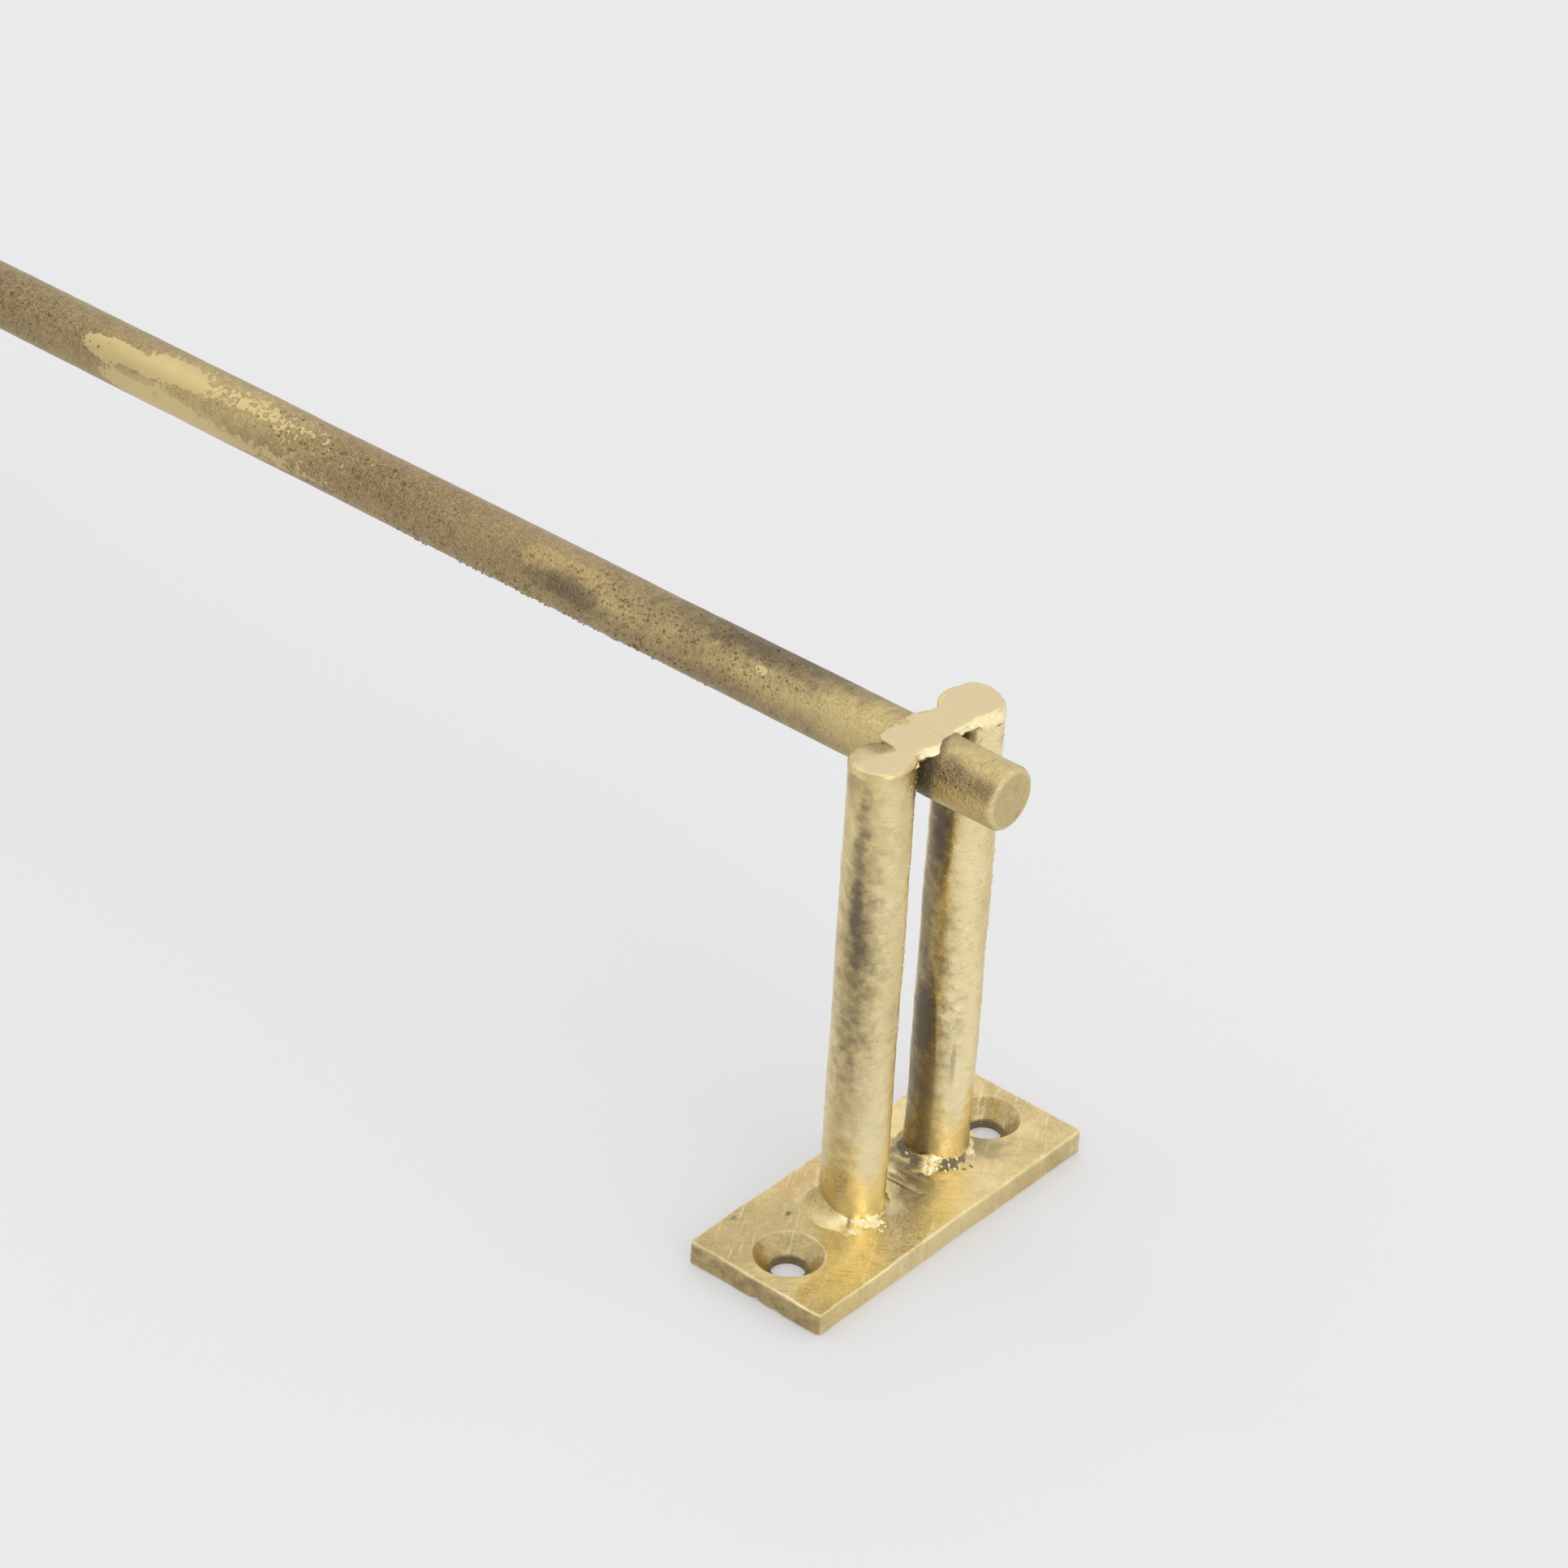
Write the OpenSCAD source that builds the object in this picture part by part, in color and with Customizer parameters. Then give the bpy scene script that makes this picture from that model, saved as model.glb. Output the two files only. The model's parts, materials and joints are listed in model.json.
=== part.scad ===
// A brass rail brazed between pairs of round posts, which stand on two screw-down foot plates.
// The object rests on its foot plates: X runs along the rail, Y across it, and Z away from the plates.
// The origin is at the middle of the footprint, on the plates' undersides.

/* [Rail] */
// Diameter of the round bar that the rail and the posts are cut from
bar_d = 10; // [8:0.5:12]
// Distance between the two brackets, from post centre to post centre
rail_span = 300; // [200:10:900]
// How far the rail runs past the centre of each pair of posts
rail_overhang = 15.7; // [10:0.1:30]
// Bevel turned on the rail's two ends
rail_end_bevel = 0.7; // [0.2:0.1:1.5]

/* [Bracket] */
// Height of the ground top of each bracket above the wall
bracket_h = 84; // [50:1:120]
// How much of the rail's crest is ground away where the top is dressed flat
crest_cut = 0.2; // [0.1:0.05:0.5]
// Gap between the rail and each post, which the brazing closes
braze_gap = 0.05; // [0.02:0.01:0.1]
// Bevel round the top of each post
post_top_bevel = 0.3; // [0.1:0.1:0.8]

/* [Foot plate] */
// Length of the plate, across the rail
plate_l = 62.5; // [50:0.5:80]
// Width of the plate, along the rail
plate_w = 25.5; // [20:0.5:30]
// Thickness of the plate
plate_t = 4; // [3:0.5:6]
// Radius of the plate's four corners in plan
plate_corner_r = 0.8; // [0.3:0.1:3]
// How far the plate sits outwards from the centre of its posts
plate_shift_out = 1.1; // [0:0.1:2]
// How far the rail and the posts sit behind the centre of the plate
posts_behind = 2.5; // [0:0.1:4]

/* [Screw holes] */
// Distance between the two holes in a plate
hole_spacing = 46.5; // [42:0.5:50]
// Diameter of each hole
hole_d = 5.4; // [4:0.1:6]
// Diameter of the countersink at the plate's top face
countersink_d = 10.8; // [8:0.1:11]

/* [Brazing] */
// How far the braze spreads from a post over the plate
foot_braze_w = 2.2; // [1:0.1:2.5]
// How far the braze climbs up the foot of a post
foot_braze_h = 2.4; // [1:0.1:4]
// Width of the braze that fills the valley between the rail and a post
valley_braze_w = 6.4; // [4:0.1:7]

/* [Hidden] */

left = -1;
right = 1;
front = -1;
rear = 1;

bar_r = bar_d / 2;
rail_l = rail_span + 2 * rail_overhang;
rail_y = posts_behind;
rail_z = bracket_h - bar_r + crest_cut;
post_y = bar_d + braze_gap;          // from the rail's axis to a post's axis
post_h = bracket_h - plate_t;
land_x = 6;                          // length of the flat ground on the rail, inwards from the posts
valley_tip = 1.2;                    // the brazing thins out this far from the rail's centre line
countersink_h = (countersink_d - hole_d) / 2;
through = 1;                         // how far a cutting tool runs past the face that it cuts

tarnished_brass = [0.55, 0.46, 0.28];
cast_brass = [0.78, 0.69, 0.44];
plate_brass = [0.73, 0.63, 0.36];
braze_filler = [0.86, 0.77, 0.47];

$fn = 96;

// Everything on a bracket is drawn about the centre of its pair of posts, with +X pointing out
// along the rail's overhang, and then put at its end of the rail.
module at_bracket(end) {
    translate([end * rail_span / 2, rail_y, 0])
        mirror([end == left ? 1 : 0, 0, 0])
            children();
}

// A flat bar with its corners rounded in plan.
module rounded_bar(l, w, t, r) {
    linear_extrude(t)
        union() {
            square([w - 2 * r, l], center = true);
            square([w, l - 2 * r], center = true);
            for (x = [-1, 1], y = [-1, 1])
                translate([x * (w / 2 - r), y * (l / 2 - r)])
                    circle(r);
        }
}

// A drilled hole with a 90 degree countersink, cut down into a plate of thickness t.
module countersunk_hole(t) {
    translate([0, 0, -through])
        cylinder(d = hole_d, h = t + 2 * through);
    translate([0, 0, t - countersink_h])
        cylinder(d1 = hole_d, d2 = countersink_d + 2 * through, h = countersink_h + through);
}

module foot_plate() {
    color(plate_brass)
        translate([plate_shift_out, -posts_behind, 0])
            difference() {
                rounded_bar(plate_l, plate_w, plate_t, plate_corner_r);
                for (side = [front, rear])
                    translate([0, side * hole_spacing / 2, 0])
                        countersunk_hole(plate_t);
            }
}

module post(side) {
    color(cast_brass)
        translate([0, side * post_y, plate_t]) {
            cylinder(r = bar_r, h = post_h - post_top_bevel);
            translate([0, 0, post_h - post_top_bevel])
                cylinder(r1 = bar_r, r2 = bar_r - post_top_bevel, h = post_top_bevel);
        }
}

// The concave collar of braze round the foot of a post.
module foot_braze(side) {
    steps = 8;
    color(braze_filler)
        translate([0, side * post_y, plate_t])
            rotate_extrude()
                polygon(concat([[bar_r, 0]],
                    [for (i = [0 : steps])
                        let (a = 90 * i / steps)
                            [bar_r + foot_braze_w * (1 - sin(a)), foot_braze_h * (1 - cos(a))]]));
}

// The wedge of braze in the valley between the rail's crest and one post, dressed flat on top.
module valley_braze(side) {
    color(braze_filler)
        difference() {
            translate([-valley_braze_w / 2, side == rear ? valley_tip : -post_y, rail_z])
                cube([valley_braze_w, post_y - valley_tip, bracket_h - rail_z]);
            rotate([0, 90, 0])
                translate([-rail_z, 0, -valley_braze_w])
                    cylinder(r = bar_r, h = 2 * valley_braze_w);
            translate([0, side * post_y, rail_z - through])
                cylinder(r = bar_r, h = bar_d);
        }
}

// The rail, with a flat dressed on its crest where it passes between each pair of posts.
module rail_rod() {
    color(tarnished_brass)
        translate([0, rail_y, 0])
            difference() {
                translate([-rail_l / 2, 0, rail_z])
                    rotate([0, 90, 0]) {
                        cylinder(r1 = bar_r - rail_end_bevel, r2 = bar_r, h = rail_end_bevel);
                        translate([0, 0, rail_end_bevel])
                            cylinder(r = bar_r, h = rail_l - 2 * rail_end_bevel);
                        translate([0, 0, rail_l - rail_end_bevel])
                            cylinder(r1 = bar_r, r2 = bar_r - rail_end_bevel, h = rail_end_bevel);
                    }
                for (end = [left, right])
                    translate([end * rail_span / 2, 0, 0])
                        mirror([end == left ? 1 : 0, 0, 0])
                            translate([-land_x, -bar_r, bracket_h])
                                cube([land_x + valley_braze_w / 2, bar_d, bar_d]);
            }
}

rail_rod();

at_bracket(left) foot_plate();  // left_foot_plate
at_bracket(left) post(front);  // left_front_post
at_bracket(left) post(rear);  // left_rear_post
at_bracket(left) foot_braze(front);  // left_front_foot_braze
at_bracket(left) foot_braze(rear);  // left_rear_foot_braze
at_bracket(left) valley_braze(front);  // left_front_valley_braze
at_bracket(left) valley_braze(rear);  // left_rear_valley_braze

at_bracket(right) foot_plate();  // right_foot_plate
at_bracket(right) post(front);  // right_front_post
at_bracket(right) post(rear);  // right_rear_post
at_bracket(right) foot_braze(front);  // right_front_foot_braze
at_bracket(right) foot_braze(rear);  // right_rear_foot_braze
at_bracket(right) valley_braze(front);  // right_front_valley_braze
at_bracket(right) valley_braze(rear);  // right_rear_valley_braze
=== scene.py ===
# A brass rail brazed between the heads of two pairs of round posts, each pair on a screwed foot plate.
# Sizes are in millimetres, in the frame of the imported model, and meshes are made in metres.
import bpy
import bmesh
import math
import numpy as np
from mathutils import Matrix, Vector
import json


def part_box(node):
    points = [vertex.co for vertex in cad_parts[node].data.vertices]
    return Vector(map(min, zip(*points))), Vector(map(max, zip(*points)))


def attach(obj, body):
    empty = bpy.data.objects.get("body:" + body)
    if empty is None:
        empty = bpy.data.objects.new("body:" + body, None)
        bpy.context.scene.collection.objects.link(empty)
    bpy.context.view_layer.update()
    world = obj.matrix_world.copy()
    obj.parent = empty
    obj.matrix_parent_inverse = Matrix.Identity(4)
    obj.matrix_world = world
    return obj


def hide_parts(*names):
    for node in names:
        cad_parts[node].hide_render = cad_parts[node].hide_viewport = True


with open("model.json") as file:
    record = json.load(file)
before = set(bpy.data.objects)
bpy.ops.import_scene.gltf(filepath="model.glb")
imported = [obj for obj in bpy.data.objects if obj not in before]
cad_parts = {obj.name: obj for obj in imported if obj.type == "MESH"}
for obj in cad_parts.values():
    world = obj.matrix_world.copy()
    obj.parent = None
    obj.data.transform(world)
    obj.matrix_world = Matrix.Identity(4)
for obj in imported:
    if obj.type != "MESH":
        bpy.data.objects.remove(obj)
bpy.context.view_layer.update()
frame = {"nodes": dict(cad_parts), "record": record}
record = frame["record"]
mm = 0.001
print("frame loaded,", len(frame["nodes"]), "CAD nodes")


# numbers and noise

def boxMm(node):
    low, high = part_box(node)
    return np.array(low) / mm, np.array(high) / mm


def ramp(value, low, high):  # 0 below low, 1 above high, smooth between
    t = np.clip((value - low) / (high - low), 0, 1)
    return t * t * (3 - 2 * t)


def latticeValue(cell, seed):  # one fixed random number for each cell of a grid
    n = cell[..., 0] * 374761393 + cell[..., 1] * 668265263 + cell[..., 2] * 1442695041 + seed * 97463477
    n = (n ^ (n >> 13)) * 1274126177
    return ((n ^ (n >> 16)) & 0xffff) / 65535


def lumps(points, size, seed):  # smooth noise from -1 to 1, with lumps about size apart
    p = points / size
    cell = np.floor(p).astype(np.int64)
    f = p - cell
    f = f * f * (3 - 2 * f)
    total = 0
    for corner in np.ndindex(2, 2, 2):
        weight = np.prod(np.where(corner, f, 1 - f), axis=-1)
        total = total + weight * latticeValue(cell + np.array(corner), seed)
    return total * 2 - 1


def layered(points, size, seed, layers=3):  # several sizes of lump on top of each other
    total = 0
    for i in range(layers):
        total = total + lumps(points, size / 2 ** i, seed + i) / 1.7 ** i
    return total


def castSkin(points, skin, seed):  # how far a cast or hammered surface stands proud, in mm
    high = skin["wave"] * lumps(points, skin["waveSize"], seed)
    high = high + skin["dent"] * layered(points, skin["dentSize"], seed + 10)
    pits = ramp(lumps(points, skin["pitSize"], seed + 20), 1 - skin["pitShare"], 1)
    return high - skin["pitDepth"] * pits


# building meshes

def finishMesh(name, vertices, faces, marks, sharpAngle=40):
    mesh = bpy.data.meshes.new(name)
    mesh.from_pydata((np.asarray(vertices) * mm).tolist(), [], faces)
    for key, values in marks.items():
        layer = mesh.attributes.new(key, "FLOAT", "POINT")
        layer.data.foreach_set("value", np.asarray(values, dtype=np.float32).ravel())
    work = bmesh.new()
    work.from_mesh(mesh)
    bmesh.ops.recalc_face_normals(work, faces=work.faces)
    work.to_mesh(mesh)
    work.free()
    mesh.shade_smooth()
    mesh.set_sharp_from_angle(angle=math.radians(sharpAngle))
    piece = bpy.data.objects.new(name, mesh)
    bpy.context.scene.collection.objects.link(piece)
    return piece


def loft(name, rings, poles, marks, sharpAngle=40):  # closed rings in a row, with a point at each end
    rows, around = rings.shape[:2]
    vertices = np.concatenate([rings.reshape(-1, 3), np.array(poles)])
    first, last = rows * around, rows * around + 1
    faces = []
    for i in range(rows - 1):
        for j in range(around):
            k = (j + 1) % around
            faces.append((i * around + j, i * around + k, (i + 1) * around + k, (i + 1) * around + j))
    for j in range(around):
        k = (j + 1) % around
        faces.append((first, k, j))
        faces.append((last, (rows - 1) * around + j, (rows - 1) * around + k))
    closed = {}
    for key, values in marks.items():
        closed[key] = np.append(values.ravel(), [values[0].mean(), values[-1].mean()])
    return finishMesh(name, vertices, faces, closed, sharpAngle)


def barStations(length, radius, bevel, step):  # distance along a round bar and radius there, end to end
    ends = [(0, radius * share) for share in (0.2, 0.4, 0.6, 0.78)]
    ends += [(0, radius - bevel), (bevel * 0.35, radius - bevel * 0.4), (bevel, radius)]
    count = int((length - 2 * bevel) / step)
    body = [(bevel + (length - 2 * bevel) * i / count, radius) for i in range(1, count)]
    return np.array(ends + body + [(length - a, r) for a, r in reversed(ends)])


def markField(along, arc, places):  # 1 in the middle of a mark, 0 at its edge, below 0 outside
    field = np.full(along.shape, -1.0)
    for centre, bearing, halfLength, halfWidth, strength in places:
        turn = (arc[0] - bearing + 180) % 360 - 180
        reach = np.sqrt(((along - centre) / halfLength) ** 2 + (np.radians(turn) * arc[1] / halfWidth) ** 2)
        field = np.maximum(field, (1 - reach) * strength)
    return field


markKeys = ("bright", "dull", "freshAndLit", "tarnish", "dark")  # each is painted on with its own colour


def paintMarks(work, field, like):  # every mark's field for one piece, -1 where there is none
    marks = {key: field(work.get(key, [])) for key in markKeys}
    marks["pitted"] = np.maximum(field(work.get("pitted", [])), 0)
    marks["edge"] = np.zeros(like.shape)
    marks["crumbs"] = np.zeros(like.shape)
    return marks


# crumbs of braze, scattered with geometry nodes

def crumbTree():
    tree = bpy.data.node_groups.new("brazeCrumbs", "GeometryNodeTree")
    face = tree.interface
    face.new_socket("Geometry", in_out="INPUT", socket_type="NodeSocketGeometry")
    face.new_socket("Per Square Metre", in_out="INPUT", socket_type="NodeSocketFloat")
    face.new_socket("Crumb Size", in_out="INPUT", socket_type="NodeSocketFloat")
    face.new_socket("Shine", in_out="INPUT", socket_type="NodeSocketFloat")
    face.new_socket("Seed", in_out="INPUT", socket_type="NodeSocketInt")
    face.new_socket("Finish", in_out="INPUT", socket_type="NodeSocketMaterial")
    face.new_socket("Geometry", in_out="OUTPUT", socket_type="NodeSocketGeometry")
    given = tree.nodes.new("NodeGroupInput")
    result = tree.nodes.new("NodeGroupOutput")
    where = tree.nodes.new("GeometryNodeInputNamedAttribute")
    where.data_type = "FLOAT"
    where.inputs["Name"].default_value = "crumbs"
    density = tree.nodes.new("ShaderNodeMath")
    density.operation = "MULTIPLY"
    spread = tree.nodes.new("GeometryNodeDistributePointsOnFaces")
    crumb = tree.nodes.new("GeometryNodeMeshIcoSphere")
    crumb.inputs["Subdivisions"].default_value = 1
    smooth = tree.nodes.new("GeometryNodeSetShadeSmooth")
    lay = tree.nodes.new("GeometryNodeInstanceOnPoints")
    turn = tree.nodes.new("FunctionNodeRandomValue")
    turn.data_type = "FLOAT_VECTOR"
    turn.inputs["Max"].default_value = (6.28, 6.28, 6.28)
    grow = tree.nodes.new("FunctionNodeRandomValue")
    grow.data_type = "FLOAT_VECTOR"
    grow.inputs["Min"].default_value = (0.3, 0.3, 0.3)
    grow.inputs["Max"].default_value = (1.3, 1.3, 0.8)
    marked = []
    for key in ("freshAndLit", "dark", "bright", "dull"):  # a crumb shows its own finish, not the marks below it
        store = tree.nodes.new("GeometryNodeStoreNamedAttribute")
        store.data_type = "FLOAT"
        store.domain = "INSTANCE"
        store.inputs["Name"].default_value = key
        store.inputs["Value"].default_value = -1.0
        marked.append(store)
    real = tree.nodes.new("GeometryNodeRealizeInstances")
    both = tree.nodes.new("GeometryNodeJoinGeometry")
    dress = tree.nodes.new("GeometryNodeSetMaterial")
    link = tree.links.new
    link(given.outputs["Geometry"], spread.inputs["Mesh"])
    link(where.outputs["Attribute"], density.inputs[0])
    link(given.outputs["Per Square Metre"], density.inputs[1])
    link(density.outputs[0], spread.inputs["Density"])
    link(given.outputs["Seed"], spread.inputs["Seed"])
    link(given.outputs["Seed"], turn.inputs["Seed"])
    link(given.outputs["Seed"], grow.inputs["Seed"])
    link(given.outputs["Crumb Size"], crumb.inputs["Radius"])
    link(crumb.outputs["Mesh"], smooth.inputs["Geometry"])
    link(spread.outputs["Points"], lay.inputs["Points"])
    link(smooth.outputs["Geometry"], lay.inputs["Instance"])
    link(turn.outputs["Value"], lay.inputs["Rotation"])
    link(grow.outputs["Value"], lay.inputs["Scale"])
    link(given.outputs["Shine"], marked[0].inputs["Value"])
    link(lay.outputs["Instances"], marked[0].inputs["Geometry"])
    for store, after in zip(marked, marked[1:] + [both]):
        link(store.outputs["Geometry"], after.inputs["Geometry"])
    link(given.outputs["Geometry"], both.inputs["Geometry"])
    link(both.outputs["Geometry"], real.inputs["Geometry"])
    link(real.outputs["Geometry"], dress.inputs["Geometry"])
    link(given.outputs["Finish"], dress.inputs["Material"])
    link(dress.outputs["Geometry"], result.inputs["Geometry"])
    return tree


crumbs = crumbTree()


def addCrumbs(piece, work, seed, finish):
    scatter = piece.modifiers.new("crumbs", "NODES")
    scatter.node_group = crumbs
    values = {"Per Square Metre": work["perSquare"] * 1e6, "Crumb Size": work["size"] * mm,
              "Shine": work["shine"], "Seed": seed, "Finish": finish}
    for socket in crumbs.interface.items_tree:
        if socket.in_out == "INPUT" and socket.name in values:
            scatter[socket.identifier] = values[socket.name]
    piece.update_tag()
    ready = bpy.context.evaluated_depsgraph_get()
    plain = bpy.data.meshes.new_from_object(piece.evaluated_get(ready))
    piece.modifiers.clear()
    piece.data = plain
    plain.name = piece.name


# shader groups

# a node with its settings, and a value or a socket for each input; in0 is the input with number 0
def put(tree, kind, settings=None, **feeds):
    node = tree.nodes.new(kind)
    for key, value in (settings or {}).items():
        setattr(node, key, value)
    for key, value in feeds.items():
        name = key.replace("_", " ")
        numbered = name.startswith("in") and name[2:].isdigit()
        socket = node.inputs[int(name[2:]) if numbered else name]
        if isinstance(value, bpy.types.NodeSocket):
            tree.links.new(value, socket)
        else:
            socket.default_value = value
    return node


def maths(tree, operation, a, b):
    return put(tree, "ShaderNodeMath", {"operation": operation}, in0=a, in1=b).outputs[0]


def soften(tree, value, low, high):  # 0 at low, 1 at high, smooth between
    node = put(tree, "ShaderNodeMapRange", {"interpolation_type": "SMOOTHSTEP"}, Value=value)
    for name, number in (("From Min", low), ("From Max", high)):
        if isinstance(number, bpy.types.NodeSocket):
            tree.links.new(number, node.inputs[name])
        else:
            node.inputs[name].default_value = number
    return node.outputs["Result"]


def tint(tree, share, a, b):
    return put(tree, "ShaderNodeMix", {"data_type": "RGBA"}, in0=share, in6=a, in7=b).outputs[2]


def newGroup(name, takes, gives):  # its tree, the sockets it is given and the sockets it fills
    tree = bpy.data.node_groups.new(name, "ShaderNodeTree")
    for socketName, kind, value in takes:
        socket = tree.interface.new_socket(socketName, in_out="INPUT", socket_type="NodeSocket" + kind)
        if value is not None:
            socket.default_value = value
    for socketName, kind in gives:
        tree.interface.new_socket(socketName, in_out="OUTPUT", socket_type="NodeSocket" + kind)
    return tree, tree.nodes.new("NodeGroupInput").outputs, tree.nodes.new("NodeGroupOutput").inputs


def grainGroup():  # speckled cast grain, dust in its hollows, and small pits
    tree, given, result = newGroup(
        "castGrain",
        [("Place", "Vector", None), ("Grain Size", "Float", 0.4), ("Pit Spacing", "Float", 1.6),
         ("Pit Share", "Float", 0.3), ("Pitted", "Float", 0.0)],
        [("Grain", "Float"), ("Dust", "Float"), ("Pits", "Float"), ("Height", "Float")])
    fine = maths(tree, "DIVIDE", 1.0, given["Grain Size"])
    grain = put(tree, "ShaderNodeTexNoise", Vector=given["Place"], Scale=fine, Detail=4.0, Roughness=0.65)
    speck = soften(tree, grain.outputs["Fac"], 0.44, 0.62)
    wide = maths(tree, "DIVIDE", 1.0, given["Pit Spacing"])
    cells = put(tree, "ShaderNodeTexVoronoi", Vector=given["Place"], Scale=wide, Randomness=1.0)
    pit = soften(tree, cells.outputs["Distance"], given["Pit Share"], 0.0)
    some = put(tree, "ShaderNodeTexNoise", Vector=given["Place"], Scale=0.35, Detail=2.0)
    likely = maths(tree, "ADD", some.outputs["Fac"], maths(tree, "MULTIPLY", given["Pitted"], 0.4))
    pit = maths(tree, "MULTIPLY", pit, soften(tree, likely, 0.46, 0.66))
    tree.links.new(speck, result["Grain"])
    tree.links.new(soften(tree, grain.outputs["Fac"], 0.46, 0.34), result["Dust"])
    tree.links.new(pit, result["Pits"])
    raised = maths(tree, "MULTIPLY", grain.outputs["Fac"], 0.5)
    tree.links.new(maths(tree, "SUBTRACT", raised, pit), result["Height"])
    return tree


def cloudGroup():  # soft clouds of tarnish
    tree, given, result = newGroup(
        "tarnishClouds",
        [("Place", "Vector", None), ("Cloud Size", "Float", 12.0), ("Amount", "Float", 0.5),
         ("Blur", "Float", 0.15)],
        [("Mask", "Float")])
    scale = maths(tree, "DIVIDE", 1.0, given["Cloud Size"])
    cloud = put(tree, "ShaderNodeTexNoise", Vector=given["Place"], Scale=scale, Detail=5.0, Roughness=0.6,
                Distortion=0.6)
    middle = maths(tree, "SUBTRACT", 1.0, given["Amount"])
    low = maths(tree, "SUBTRACT", middle, given["Blur"])
    high = maths(tree, "ADD", middle, given["Blur"])
    tree.links.new(soften(tree, cloud.outputs["Fac"], low, high), result["Mask"])
    return tree


def strokeGroup():  # file and emery strokes; Place comes in squeezed across the strokes
    tree, given, result = newGroup(
        "fileStrokes",
        [("Place", "Vector", None), ("Share", "Float", 0.5)],
        [("Strokes", "Float"), ("Height", "Float")])
    stroke = put(tree, "ShaderNodeTexNoise", Vector=given["Place"], Scale=1.0, Detail=3.0, Roughness=0.7)
    low = maths(tree, "SUBTRACT", 1.0, given["Share"])
    high = maths(tree, "ADD", low, 0.16)
    tree.links.new(soften(tree, stroke.outputs["Fac"], low, high), result["Strokes"])
    tree.links.new(stroke.outputs["Fac"], result["Height"])
    return tree


def raggedGroup():  # gives a painted mark a ragged, grainy edge
    tree, given, result = newGroup(
        "raggedMark",
        [("Mark", "Float", 0.0), ("Place", "Vector", None), ("Ragged", "Float", 0.5),
         ("Blur", "Float", 0.08), ("Grain Size", "Float", 1.0)],
        [("Mask", "Float")])
    scale = maths(tree, "DIVIDE", 1.0, given["Grain Size"])
    edge = put(tree, "ShaderNodeTexNoise", Vector=given["Place"], Scale=scale, Detail=4.0, Roughness=0.6)
    wander = maths(tree, "MULTIPLY", maths(tree, "SUBTRACT", edge.outputs["Fac"], 0.5), given["Ragged"])
    moved = maths(tree, "ADD", given["Mark"], maths(tree, "MULTIPLY", wander, 2.0))
    low = maths(tree, "MULTIPLY", given["Blur"], -1.0)
    tree.links.new(soften(tree, moved, low, given["Blur"]), result["Mask"])
    return tree


castGrain = grainGroup()
tarnishClouds = cloudGroup()
fileStrokes = strokeGroup()
raggedMark = raggedGroup()


def useGroup(tree, group, **feeds):
    return put(tree, "ShaderNodeGroup", {"node_tree": group}, **feeds).outputs


def painted(tree, name):
    return put(tree, "ShaderNodeAttribute", {"attribute_name": name}).outputs["Fac"]


sandCoarser = 2.7  # the coarse sand grain against the fine one
edgeHighlightShare = 0.75  # how strongly the painted highlight is laid along edges
crossDepth = 0.6  # how deep the crossing strokes are against the others


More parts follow.
